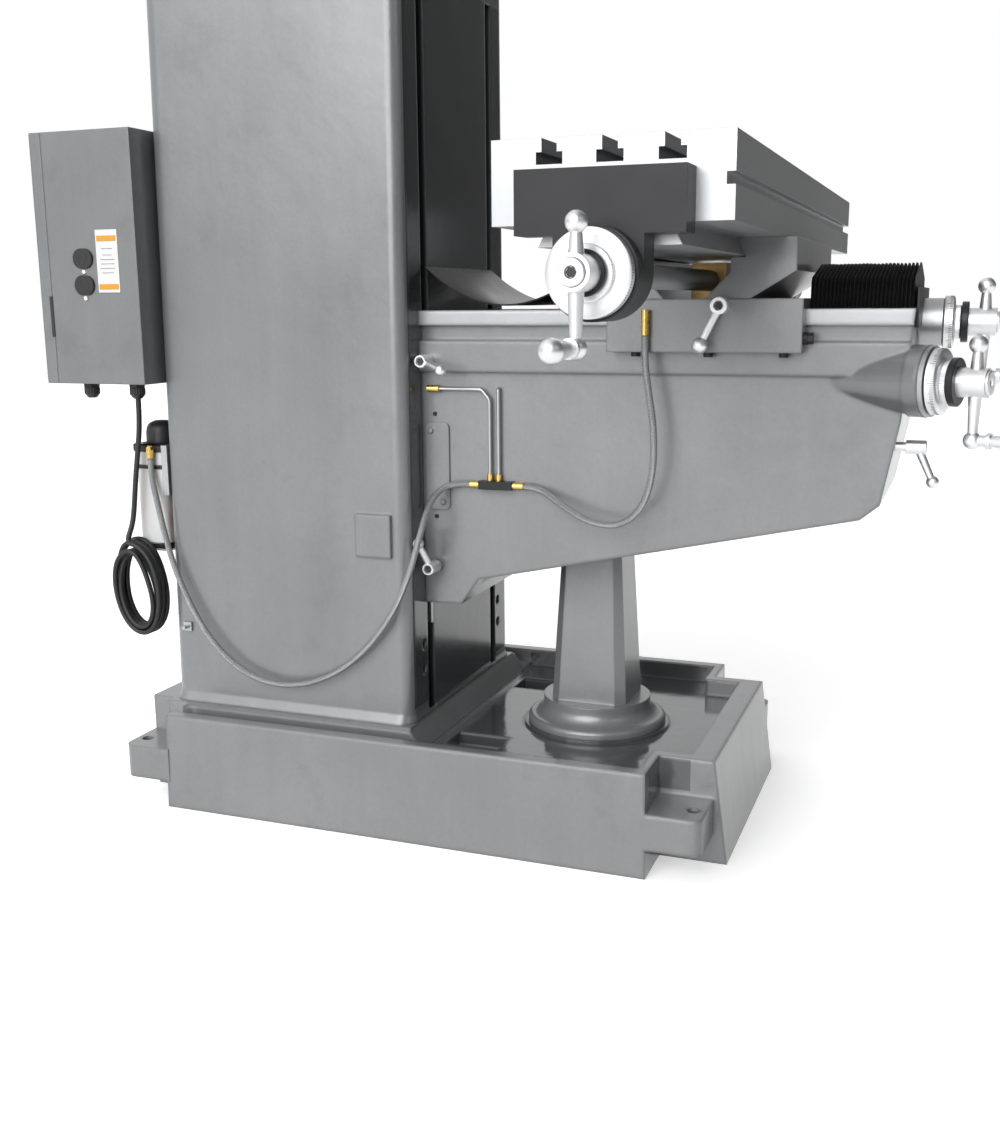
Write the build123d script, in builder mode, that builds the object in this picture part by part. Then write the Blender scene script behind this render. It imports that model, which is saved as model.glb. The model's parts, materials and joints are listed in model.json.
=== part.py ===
"""Turret-type vertical knee milling machine, in millimetres.

Frame: +X is the operator's right (the table's long axis), +Y is the back, +Z is up.
The origin is on the floor, under the middle of the base casting.
"""
import os
from math import atan2, cos, degrees, pi, radians, sin, sqrt, tan

from build123d import *

# ---- running and mounting clearances
SLIDE_GAP = 0.05
SHAFT_GAP = 0.06
FREE_GAP = 0.4

# ---- base casting
BASE_HALF_WIDTH = 278
BASE_FRONT = -371
BASE_REAR = 380
BASE_DRAFT = 3
NOSE_HALF_WIDTH = 196
NOSE_LENGTH = 74
NOSE_SLOPE = 20
RIM_Z = 147
TRAY_Z = 118
RIM_WIDTH = 22
TRAY_WALL = 34
GUTTER_WIDTH = 34
FOOT_TOP_Z = 92
FOOT_BOTTOM_Z = 41
FOOT_HOLE_RADIUS = 9
FOOT_HOLE_INSET = 36
BASE_WALL = 24

# ---- column
COLUMN_HALF_WIDTH = 205
COLUMN_DEPTH = 404
COLUMN_TAPER = 8
COLUMN_FOOT_Z = 150
COLUMN_TOP_Z = 1290
COLUMN_WALL = 24
COLUMN_EDGE_RADIUS = 20
WAY_BOTTOM_Z = 152
WAY_TOP_Z = 1200
WAY_FACE_HALF = 118
WAY_ROOT_HALF = 98
GROOVE_OUTER = 140
GROOVE_DEPTH = 32

# ---- elevating pedestal and screw
SCREW_Y = -222
PEDESTAL_TOP_Z = 448
PEDESTAL_FOOT_HALF = 58
PEDESTAL_TOP_HALF = 43
FLANGE_RADIUS = 106
BEAD_WIDTH = 8
COLLAR_RADIUS = 82
COLLAR_Z = 163
NUT_RADIUS = 30
NUT_LENGTH = 70
ELEVATING_SCREW_RADIUS = 16
ELEVATING_SCREW_BOTTOM_Z = 146

# ---- knee
KNEE_HALF_WIDTH = 152
KNEE_SIDE_STEP = 8
KNEE_LOWER_HALF = KNEE_HALF_WIDTH - KNEE_SIDE_STEP
KNEE_FRONT = -666
WAY_Z = 744
WAY_STRIP = 20
KEEPER_GROOVE = 21
KNEE_SHOULDER_Z = 660
KNEE_HEEL_Z = 322
KNEE_TOE_Z = 485
TROUGH_HALF = 62
TROUGH_Z = 692
WEB_TOP_Z = 622
CAVITY_TOP_Z = 596
CAVITY_HALF = 116
Y_SCREW_Z = 725
Y_SCREW_RADIUS = 14
Z_SHAFT_Z = 655
Z_SHAFT_RADIUS = 11
BOSS_RADIUS = 45
BOSS_END_X = -138
BOSS_END_Y = -686

# ---- saddle and table
SADDLE_OVERHANG = 30
SADDLE_HALF_LENGTH = KNEE_HALF_WIDTH + SADDLE_OVERHANG
SADDLE_FRONT = -535
SADDLE_REAR = -283
SKIRT_BOTTOM_Z = 690
TABLE_AXIS_Y = -385
TABLE_UNDERSIDE_Z = 832
TABLE_THICKNESS = 86
TABLE_HALF_LENGTH = 533
TABLE_HALF_WIDTH = 127
SADDLE_TOP_HALF = 140
DOVETAIL_DEPTH = 22
DOVETAIL_FACE_HALF = 64
DOVETAIL_ROOT_HALF = 76
X_SCREW_Z = 782
X_SCREW_RADIUS = 14
T_SLOT_THROAT = 16
T_SLOT_HEAD = 28
T_SLOT_THROAT_DEPTH = 14
T_SLOT_HEAD_DEPTH = 12
T_SLOT_PITCH = 64
BRACKET_THICKNESS = 40

# ---- cranks
CRANK_ARM = 70
CRANK_STUB = 46
CRANK_BALL = 11
CRANK_ARM_ROOT = 8
CRANK_ARM_TIP = 6
CRANK_HUB_RADIUS = 18
CRANK_GRIP = 12
POLE_FLAT = 3
DIAL_RADIUS = 42
Y_DIAL_RADIUS = 35

# ---- upper machine
TURRET_Y = 200
TURRET_RADIUS = 165
TURRET_TOP_Z = 1372
RAM_HALF_WIDTH = 82
RAM_HEIGHT = 118
RAM_FRONT = -205
RAM_REAR = 445
RAM_Z = 1431
SPINDLE_Y = -385
KNUCKLE_RADIUS = 98
QUILL_RADIUS = 43
SPINDLE_RADIUS = 22
SPINDLE_BORE_RADIUS = 12.07
NOSE_Z = 1220
QUILL_STROKE = 127
HEAD_BOTTOM_Z = 1262
HEAD_TOP_Z = 1640
BELT_TOP_Z = 1790
MOTOR_Y = -235
MOTOR_RADIUS = 88
MOTOR_TOP_Z = 2075

# ---- electrical box
BOX_LEFT = -240
BOX_RIGHT = 160
BOX_FRONT = 401
BOX_REAR = 555
BOX_BOTTOM_Z = 640
BOX_TOP_Z = 1000
BOX_WALL = 3
DOOR_THICKNESS = 20
HINGE_X = BOX_RIGHT + 6
HINGE_Y = BOX_REAR + DOOR_THICKNESS / 2
HINGE_RADIUS = 5
KNUCKLE_LENGTH = 34
HINGE_ZS = (740, 920)
OUTLET_PITCH = 38.1
OUTLET_Y = 494
OUTLET_Z = 802.5
GLAND_RADIUS = 11
GLAND_LENGTH = 24
GLAND_X = -200
GLAND_YS = (444, 527)

# ---- hoses and cord
HOSE_RADIUS = 4.5
CORD_RADIUS = 4


def block(x, y, z, mode=Mode.ADD):
    """A box between pairs of limits."""
    with Locations(((x[0] + x[1]) / 2, (y[0] + y[1]) / 2, (z[0] + z[1]) / 2)):
        Box(x[1] - x[0], y[1] - y[0], z[1] - z[0], mode=mode)


def rod(start, end, radius, mode=Mode.ADD):
    """A round bar between two points."""
    first, last = Vector(*start), Vector(*end)
    with BuildSketch(Plane(origin=first, z_dir=last - first)) as section:
        Circle(radius)
    extrude(section.sketch, amount=(last - first).length, mode=mode)


def taper_rod(start, end, start_radius, end_radius):
    """A round bar whose radius changes from end to end."""
    first, last = Vector(*start), Vector(*end)
    axis = last - first
    with Locations(Plane(origin=first, z_dir=axis)):
        Cone(start_radius, end_radius, axis.length, align=(Align.CENTER, Align.CENTER, Align.MIN))


def prism(points, plane, amount, both=False, mode=Mode.ADD):
    """A polygon on a plane, given depth."""
    with BuildSketch(plane) as section:
        with BuildLine():
            Polyline(*points, close=True)
        make_face()
    extrude(section.sketch, amount=amount, both=both, mode=mode)


def save(part, name):
    part.label = name
    export_step(part, f"parts/{name}.step")


os.makedirs("parts", exist_ok=True)
YZ = Plane.YZ


# ------------------------------------------------------------------ base casting
nose_front = BASE_FRONT - NOSE_LENGTH
tail_rear = BASE_REAR + NOSE_LENGTH
tray_half = BASE_HALF_WIDTH - RIM_WIDTH
plinth_half = COLUMN_HALF_WIDTH + 12
rib = BASE_WALL
foot_holes = [
    (side * (BASE_HALF_WIDTH - FOOT_HOLE_INSET), end_y)
    for side in (-1, 1)
    for end_y in (BASE_FRONT - NOSE_LENGTH + FOOT_HOLE_INSET / 2, BASE_REAR + NOSE_LENGTH - FOOT_HOLE_INSET / 2)
]
slot_size = (56, 82)

with BuildPart() as base_casting:
    body_y = (BASE_FRONT + BASE_REAR) / 2
    with BuildSketch() as floor_outline:
        with Locations((0, body_y)):
            Rectangle(2 * BASE_HALF_WIDTH, BASE_REAR - BASE_FRONT)
    extrude(amount=RIM_Z, taper=degrees(atan2(BASE_DRAFT, RIM_Z)))
    nose_profile = [
        (nose_front - NOSE_SLOPE, 0),
        (tail_rear, 0),
        (tail_rear, RIM_Z),
        (nose_front, RIM_Z),
    ]
    prism(nose_profile, YZ, NOSE_HALF_WIDTH, both=True)
    for side in (-1, 1):
        near, far = sorted((side * (NOSE_HALF_WIDTH - 5), side * BASE_HALF_WIDTH))
        block((near, far), (nose_front, BASE_FRONT + 5), (FOOT_BOTTOM_Z, FOOT_TOP_Z))
        block((near, far), (BASE_REAR - 5, tail_rear), (FOOT_BOTTOM_Z, FOOT_TOP_Z))
    lug_edges = [
        edge
        for edge in base_casting.edges().filter_by(Axis.Z)
        if abs(edge.center().X) > BASE_HALF_WIDTH - 1
        and (edge.center().Y < nose_front + 1 or edge.center().Y > tail_rear - 1)
    ]
    fillet(lug_edges, 14)
    # chip tray with its step up to the column, its narrower nose and its side gutters
    tray_front = nose_front + TRAY_WALL
    block((-tray_half, tray_half), (BASE_FRONT + 16, -26), (TRAY_Z, RIM_Z + 1), Mode.SUBTRACT)
    block((-178, 178), (tray_front, BASE_FRONT + 17), (TRAY_Z, RIM_Z + 1), Mode.SUBTRACT)
    step_profile = [(-26.5, TRAY_Z), (-26.5, RIM_Z + 1), (-4, RIM_Z + 1), (-5, RIM_Z)]
    prism(step_profile, YZ, tray_half, both=True, mode=Mode.SUBTRACT)
    for side in (-1, 1):
        with BuildSketch(Plane.XY.offset(TRAY_Z + 8)):
            with Locations((side * (tray_half - GUTTER_WIDTH / 2), 170)):
                SlotOverall(420, GUTTER_WIDTH, rotation=90)
        extrude(amount=RIM_Z, mode=Mode.SUBTRACT)
    # drain openings to the tank below, and holes for the levelling bolts
    with BuildSketch(Plane.XY.offset(TRAY_Z + 1)):
        with Locations((-148, -82), (148, -82)):
            Rectangle(*slot_size)
    extrude(amount=-BASE_WALL - 10, mode=Mode.SUBTRACT)
    with Locations(*[(x, y, FOOT_TOP_Z) for x, y in foot_holes]):
        Hole(FOOT_HOLE_RADIUS, depth=60)
    # underside, open below between the outer walls and the cross ribs
    roof = TRAY_Z - BASE_WALL
    for x in ((-BASE_HALF_WIDTH + BASE_WALL + 4, -rib / 2), (rib / 2, BASE_HALF_WIDTH - BASE_WALL - 4)):
        for y in ((BASE_FRONT + BASE_WALL, -rib / 2), (rib / 2, BASE_REAR - BASE_WALL)):
            block(x, y, (-1, roof), Mode.SUBTRACT)
    # raised plinth under the column, and the seat of the elevating pedestal
    block((-plinth_half, plinth_half), (-4, COLUMN_DEPTH + 8), (RIM_Z - 20, COLUMN_FOOT_Z))
    with BuildSketch(Plane.XY.offset(TRAY_Z - 1)):
        with Locations((0, SCREW_Y)):
            Circle(FLANGE_RADIUS + 6)
    extrude(amount=5)
    with Locations((0, SCREW_Y, RIM_Z)):
        Hole(ELEVATING_SCREW_RADIUS + 6, depth=RIM_Z - 8)
save(base_casting.part, "base_casting")

# ------------------------------------------------------------------ column
column_top_half = COLUMN_HALF_WIDTH - COLUMN_TAPER
column_top_depth = COLUMN_DEPTH - COLUMN_TAPER
way_length = WAY_TOP_Z - WAY_BOTTOM_Z

with BuildPart() as column:
    with BuildSketch(Plane.XY.offset(COLUMN_FOOT_Z)):
        with Locations((0, COLUMN_DEPTH / 2)):
            RectangleRounded(2 * COLUMN_HALF_WIDTH, COLUMN_DEPTH, COLUMN_EDGE_RADIUS)
    with BuildSketch(Plane.XY.offset(COLUMN_TOP_Z)):
        with Locations((0, column_top_depth / 2)):
            RectangleRounded(2 * column_top_half, column_top_depth, COLUMN_EDGE_RADIUS)
    loft()
    # skirt round the foot
    with BuildSketch(Plane.XY.offset(COLUMN_FOOT_Z)):
        with Locations((0, COLUMN_DEPTH / 2)):
            RectangleRounded(2 * COLUMN_HALF_WIDTH + 16, COLUMN_DEPTH + 6, COLUMN_EDGE_RADIUS + 6)
    with BuildSketch(Plane.XY.offset(COLUMN_FOOT_Z + 14)):
        with Locations((0, COLUMN_DEPTH / 2)):
            RectangleRounded(2 * COLUMN_HALF_WIDTH, COLUMN_DEPTH - 2, COLUMN_EDGE_RADIUS)
    loft()
    # hollow inside, open to the base, with a thick front wall behind the ways
    block(
        (-COLUMN_HALF_WIDTH + COLUMN_WALL, COLUMN_HALF_WIDTH - COLUMN_WALL),
        (GROOVE_DEPTH + COLUMN_WALL, COLUMN_DEPTH - COLUMN_WALL - COLUMN_TAPER),
        (COLUMN_FOOT_Z - 1, COLUMN_TOP_Z - 40),
        Mode.SUBTRACT,
    )
    # two grooves leave a dovetail between them for the knee
    for side in (-1, 1):
        groove = [
            (side * WAY_FACE_HALF, -1),
            (side * GROOVE_OUTER, -1),
            (side * GROOVE_OUTER, GROOVE_DEPTH),
            (side * WAY_ROOT_HALF, GROOVE_DEPTH),
            (side * WAY_FACE_HALF, 0),
        ]
        prism(groove, Plane.XY.offset(WAY_BOTTOM_Z), way_length, mode=Mode.SUBTRACT)
    # cast pad low on the left side, and the holes of the way stops
    block((-COLUMN_HALF_WIDTH - 4, -COLUMN_HALF_WIDTH + 10), (25, 81), (398, 460))
    with Locations(Plane.XZ):
        with Locations((-152, 222), (-152, 260), (152, 222), (152, 260)):
            CounterBoreHole(4, 8, 9, depth=30)
    # pad behind, for the electrical box
    block((-120, 120), (COLUMN_DEPTH - 24, BOX_FRONT), (BOX_BOTTOM_Z + 20, BOX_TOP_Z - 20))
    # turret spigot bore
    with Locations((0, TURRET_Y, COLUMN_TOP_Z)):
        Hole(60, depth=60)
save(column.part, "column")

with BuildPart() as way_stop_screws:
    with BuildSketch(Plane.XZ.offset(-30)):
        with Locations((-152, 222), (-152, 260), (152, 222), (152, 260)):
            Circle(4 - SHAFT_GAP)
    extrude(amount=24)
    with BuildSketch(Plane.XZ.offset(-9 + SHAFT_GAP)):
        with Locations((-152, 222), (-152, 260), (152, 222), (152, 260)):
            Circle(6.5)
            RegularPolygon(3, 6, mode=Mode.SUBTRACT)
    extrude(amount=6)
save(way_stop_screws.part, "way_stop_screws")

# ------------------------------------------------------------------ elevating pedestal
pedestal_z = TRAY_Z + 4
with BuildPart() as elevating_pedestal:
    with BuildSketch(YZ) as flare:
        with BuildLine():
            foot = (SCREW_Y + FLANGE_RADIUS, pedestal_z)
            rim = (SCREW_Y + FLANGE_RADIUS, pedestal_z + 5)
            bead = (SCREW_Y + FLANGE_RADIUS - BEAD_WIDTH, pedestal_z + 5 + BEAD_WIDTH)
            neck = (SCREW_Y + COLLAR_RADIUS, COLLAR_Z - 7)
            top = (SCREW_Y + COLLAR_RADIUS, COLLAR_Z)
            bead_crown = (rim[0] - 0.29 * BEAD_WIDTH, bead[1] - 0.29 * BEAD_WIDTH)
            cove_heart = (neck[0] + 0.29 * (bead[0] - neck[0]), bead[1] + 0.29 * (neck[1] - bead[1]))
            Polyline((SCREW_Y, pedestal_z), foot, rim)
            ThreePointArc(rim, bead_crown, bead)
            ThreePointArc(bead, cove_heart, neck)
            Polyline(neck, top, (SCREW_Y, COLLAR_Z), (SCREW_Y, pedestal_z))
        make_face()
    revolve(axis=Axis((0, SCREW_Y, 0), (0, 0, 1)))
    with BuildSketch(Plane.XY.offset(COLLAR_Z - 1)):
        with Locations((0, SCREW_Y)):
            tower_foot = Rectangle(2 * PEDESTAL_FOOT_HALF, 2 * PEDESTAL_FOOT_HALF)
        chamfer(tower_foot.vertices(), 14)
    with BuildSketch(Plane.XY.offset(PEDESTAL_TOP_Z)):
        with Locations((0, SCREW_Y)):
            tower_top = Rectangle(2 * PEDESTAL_TOP_HALF, 2 * PEDESTAL_TOP_HALF)
        chamfer(tower_top.vertices(), 10)
    loft()
    with Locations((0, SCREW_Y, PEDESTAL_TOP_Z)):
        Hole(ELEVATING_SCREW_RADIUS + 4, depth=PEDESTAL_TOP_Z)
    with Locations((0, SCREW_Y, PEDESTAL_TOP_Z)):
        Hole(NUT_RADIUS + SHAFT_GAP, depth=NUT_LENGTH)
save(elevating_pedestal.part, "elevating_pedestal")

with BuildPart() as elevating_nut:
    with BuildSketch(Plane.XY.offset(PEDESTAL_TOP_Z - NUT_LENGTH)):
        with Locations((0, SCREW_Y)):
            Circle(NUT_RADIUS)
            Circle(ELEVATING_SCREW_RADIUS + SHAFT_GAP, mode=Mode.SUBTRACT)
    extrude(amount=NUT_LENGTH)
    with BuildSketch(Plane.XY.offset(PEDESTAL_TOP_Z)):
        with Locations((0, SCREW_Y)):
            Circle(NUT_RADIUS + 8)
            Circle(ELEVATING_SCREW_RADIUS + SHAFT_GAP, mode=Mode.SUBTRACT)
    extrude(amount=12)
save(elevating_nut.part, "elevating_nut")


# ------------------------------------------------------------------ knee
knee_back = -SLIDE_GAP
flank_gap = SLIDE_GAP * 1.2
GIB_THICKNESS = 8
PRONG_DEPTH = GROOVE_DEPTH - FREE_GAP
boss_span = Vector(BOSS_END_X, BOSS_END_Y - SCREW_Y, 0)
shaft_dir = boss_span.normalized()
boss_end = boss_span.length


def on_shaft(distance):
    """A point on the inclined crank shaft, measured out from the elevating screw."""
    return Vector(0, SCREW_Y, Z_SHAFT_Z) + shaft_dir * distance


def flank_x(y):
    """Half-width of the column's dovetail at a depth behind its face."""
    return WAY_FACE_HALF - (WAY_FACE_HALF - WAY_ROOT_HALF) * y / GROOVE_DEPTH


def dovetail_strip(side, inner_gap, outer_x, front_y, z):
    """A strip in a groove, from the dovetail's flank out to a width."""
    outline = [
        (side * (flank_x(front_y) + inner_gap), front_y),
        (side * outer_x(front_y), front_y),
        (side * outer_x(PRONG_DEPTH), PRONG_DEPTH),
        (side * (flank_x(PRONG_DEPTH) + inner_gap), PRONG_DEPTH),
    ]
    prism(outline, Plane.XY.offset(z[0]), z[1] - z[0])


knee_lock_places = [(-14, 675), (-20, 380)]
with BuildPart() as knee_casting:
    side_view = [
        (knee_back, KNEE_HEEL_Z),
        (-57, KNEE_HEEL_Z + 2),
        (-84, KNEE_HEEL_Z + 40),
        (-378, KNEE_HEEL_Z + 104),
        (-612, KNEE_TOE_Z - 8),
        (-636, KNEE_TOE_Z + 12),
        (-656, 604),
        (KNEE_FRONT, WAY_Z),
        (knee_back, WAY_Z),
    ]
    prism(side_view, YZ, KNEE_HALF_WIDTH, both=True)
    groove_top = WAY_Z - WAY_STRIP
    groove_bottom = groove_top - KEEPER_GROOVE
    for side in (-1, 1):
        lip = sorted((side * (KNEE_HALF_WIDTH - 12), side * (KNEE_HALF_WIDTH + 1)))
        block(lip, (KNEE_FRONT - 1, 1), (groove_bottom, groove_top), Mode.SUBTRACT)
        lower = sorted((side * KNEE_LOWER_HALF, side * (KNEE_HALF_WIDTH + 1)))
        block(lower, (KNEE_FRONT - 1, 1), (KNEE_HEEL_Z - 1, KNEE_SHOULDER_Z), Mode.SUBTRACT)
    # boss of the crank shaft, swelling out of the left side towards the front
    taper_rod((-KNEE_HALF_WIDTH + 32, -540, Z_SHAFT_Z), on_shaft(boss_end - 12), 14, BOSS_RADIUS)
    rod(on_shaft(boss_end - 20), on_shaft(boss_end), BOSS_RADIUS)
    # prongs that hold the knee to the column
    dovetail_strip(1, flank_gap, lambda y: GROOVE_OUTER - 1, -1, (KNEE_HEEL_Z, WAY_Z))
    dovetail_strip(-1, GIB_THICKNESS, lambda y: GROOVE_OUTER - 1, -1, (KNEE_HEEL_Z, WAY_Z))
    # relief behind the prongs
    block((-flank_x(0) - 2, flank_x(0) - 2), (-2, 0), (KNEE_HEEL_Z - 1, KNEE_HEEL_Z + 60), Mode.SUBTRACT)
    # trough for the cross-feed screw, and its bearing bore in the front wall
    block((-TROUGH_HALF, TROUGH_HALF), (KNEE_FRONT + 26, -30), (TROUGH_Z, WAY_Z + 1), Mode.SUBTRACT)
    y_bore_start = (0, KNEE_FRONT + 27, Y_SCREW_Z)
    rod(y_bore_start, (0, KNEE_FRONT - 2, Y_SCREW_Z), Y_SCREW_RADIUS + SHAFT_GAP, Mode.SUBTRACT)
    # gear chamber, inclined shaft tunnel, and the cavity over the pedestal
    gear_room = (SCREW_Y - 56, SCREW_Y + 56)
    block((-90, 90), gear_room, (WEB_TOP_Z, TROUGH_Z - 8), Mode.SUBTRACT)
    rod(on_shaft(10), on_shaft(boss_end + 1), Z_SHAFT_RADIUS + 4, Mode.SUBTRACT)
    block((-CAVITY_HALF, CAVITY_HALF), (-596, -74), (KNEE_HEEL_Z - 2, CAVITY_TOP_Z), Mode.SUBTRACT)
    with Locations((0, SCREW_Y, WEB_TOP_Z)):
        Hole(ELEVATING_SCREW_RADIUS - 2 + SHAFT_GAP, depth=WEB_TOP_Z - CAVITY_TOP_Z + 1)
    # sockets of the lock studs
    for y, z in knee_lock_places:
        rod((-KNEE_HALF_WIDTH - 1, y, z), (-KNEE_HALF_WIDTH + 26, y, z), 6 + SHAFT_GAP, Mode.SUBTRACT)
    rod((-112, -662, 570), (-112, -622, 570), 6 + SHAFT_GAP, Mode.SUBTRACT)
save(knee_casting.part, "knee_casting")

with BuildPart() as knee_gib:
    dovetail_strip(-1, flank_gap, lambda y: flank_x(y) + GIB_THICKNESS, 0, (286, WAY_Z - 6))
save(knee_gib.part, "knee_gib")

with BuildPart() as knee_cover_plate:
    block((-KNEE_LOWER_HALF - 3, -KNEE_LOWER_HALF), (-42, -5), (462, 588))
    fillet(knee_cover_plate.edges().filter_by(Axis.X), 8)
    with Locations(Plane(origin=(-KNEE_LOWER_HALF - 3, 0, 0), z_dir=(-1, 0, 0), x_dir=(0, -1, 0))):
        with Locations((14, 576), (32, 474)):
            Cylinder(4, 3, align=(Align.CENTER, Align.CENTER, Align.MIN))
save(knee_cover_plate.part, "knee_cover_plate")

# ------------------------------------------------------------------ elevating screw and crank shaft
GEAR_GAP = 0.5
PINION_RADIUS = 20
crown_bottom = WEB_TOP_Z + FREE_GAP
crown_top = Z_SHAFT_Z - PINION_RADIUS - GEAR_GAP
with BuildPart() as elevating_screw:
    journal = ELEVATING_SCREW_RADIUS - 2
    rod((0, SCREW_Y, ELEVATING_SCREW_BOTTOM_Z), (0, SCREW_Y, CAVITY_TOP_Z - FREE_GAP), ELEVATING_SCREW_RADIUS)
    rod((0, SCREW_Y, CAVITY_TOP_Z - 1), (0, SCREW_Y, crown_top + 3), journal)
    rod((0, SCREW_Y, crown_bottom), (0, SCREW_Y, crown_top), 46)
    chamfer(elevating_screw.edges().sort_by(Axis.Z)[0], 2)
save(elevating_screw.part, "elevating_screw")

with BuildPart() as z_shaft:
    rod(on_shaft(24), on_shaft(boss_end + 66), Z_SHAFT_RADIUS)
    taper_rod(on_shaft(26), on_shaft(46), PINION_RADIUS - 4, PINION_RADIUS)
save(z_shaft.part, "z_shaft")

with BuildPart() as bearing_retainers:
    with BuildSketch(Plane(origin=on_shaft(boss_end), z_dir=shaft_dir)) as z_retainer:
        Circle(BOSS_RADIUS - 1)
        Circle(Z_SHAFT_RADIUS + SHAFT_GAP, mode=Mode.SUBTRACT)
    extrude(z_retainer.sketch, amount=6)
    with BuildSketch(Plane(origin=(0, KNEE_FRONT, Y_SCREW_Z), z_dir=(0, -1, 0))) as y_retainer:
        Circle(31)
        Circle(Y_SCREW_RADIUS + SHAFT_GAP, mode=Mode.SUBTRACT)
    extrude(y_retainer.sketch, amount=28)
save(bearing_retainers.part, "bearing_retainers")


def dial(origin, direction, radius, bore):
    """A graduated dial with a clamp ring, along an axis from its back face."""
    with BuildSketch(Plane(origin=origin, z_dir=direction)) as face:
        Circle(radius)
        Circle(bore, mode=Mode.SUBTRACT)
    extrude(face.sketch, amount=14)
    with BuildSketch(Plane(origin=origin + direction * 14, z_dir=direction)) as ring:
        Circle(radius * 0.62)
        Circle(bore, mode=Mode.SUBTRACT)
    extrude(ring.sketch, amount=8)


def on_ball(centre, radius, flat, side):
    """Where a ball's profile meets the small flat at its pole."""
    return (centre + side * sqrt(radius**2 - flat**2), flat)


def crank(origin, direction, arm_dir, bore, hub_length=44):
    """A ball crank: a bar with a ball at each end, its hub, and a turned handle."""
    middle = origin + direction * (hub_length - 15)
    tip = middle + arm_dir * CRANK_ARM
    root = sqrt(CRANK_HUB_RADIUS**2 - CRANK_ARM_ROOT**2) - 0.3
    for length, along in ((CRANK_ARM, arm_dir), (CRANK_STUB, -arm_dir)):
        neck = on_ball(length, CRANK_BALL, CRANK_ARM_TIP, -1)
        pole = on_ball(length, CRANK_BALL, POLE_FLAT, 1)
        with BuildSketch(Plane(origin=middle, x_dir=along, z_dir=direction)) as bar:
            with BuildLine():
                Polyline((root, CRANK_ARM_ROOT), neck)
                ThreePointArc(neck, (length, CRANK_BALL), pole)
                Polyline(pole, (pole[0], 0), (root, 0), (root, CRANK_ARM_ROOT))
            make_face()
        revolve(bar.sketch, axis=Axis(middle, along))
    with BuildSketch(Plane(origin=origin, z_dir=direction)) as hub:
        Circle(CRANK_HUB_RADIUS)
        Circle(bore, mode=Mode.SUBTRACT)
    extrude(hub.sketch, amount=hub_length)
    # turned handle, thickest near its rounded end
    grip_end = 74
    cap = on_ball(grip_end, CRANK_GRIP, POLE_FLAT, 1)
    shoulder = (grip_end + CRANK_GRIP * cos(pi / 4), CRANK_GRIP * sin(pi / 4))
    side_plane = Plane(origin=tip, x_dir=direction, z_dir=direction.cross(arm_dir))
    with BuildSketch(side_plane) as handle:
        with BuildLine():
            Polyline((0, 0), (0, 7), (18, 7), (18, 10), (23, 10), (23, 7), (grip_end, CRANK_GRIP))
            ThreePointArc((grip_end, CRANK_GRIP), shoulder, cap)
            Polyline(cap, (cap[0], 0), (0, 0))
        make_face()
    revolve(handle.sketch, axis=Axis(tip, direction))


HUB_FIT = 0.02
z_dial_at = boss_end + 6 + FREE_GAP
with BuildPart() as z_dial:
    dial(on_shaft(z_dial_at), shaft_dir, DIAL_RADIUS, Z_SHAFT_RADIUS + HUB_FIT)
save(z_dial.part, "z_dial")

with BuildPart() as z_crank:
    crank(on_shaft(z_dial_at + 22), shaft_dir, Vector(0, 0, -1), Z_SHAFT_RADIUS + HUB_FIT)
save(z_crank.part, "z_crank")


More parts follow.
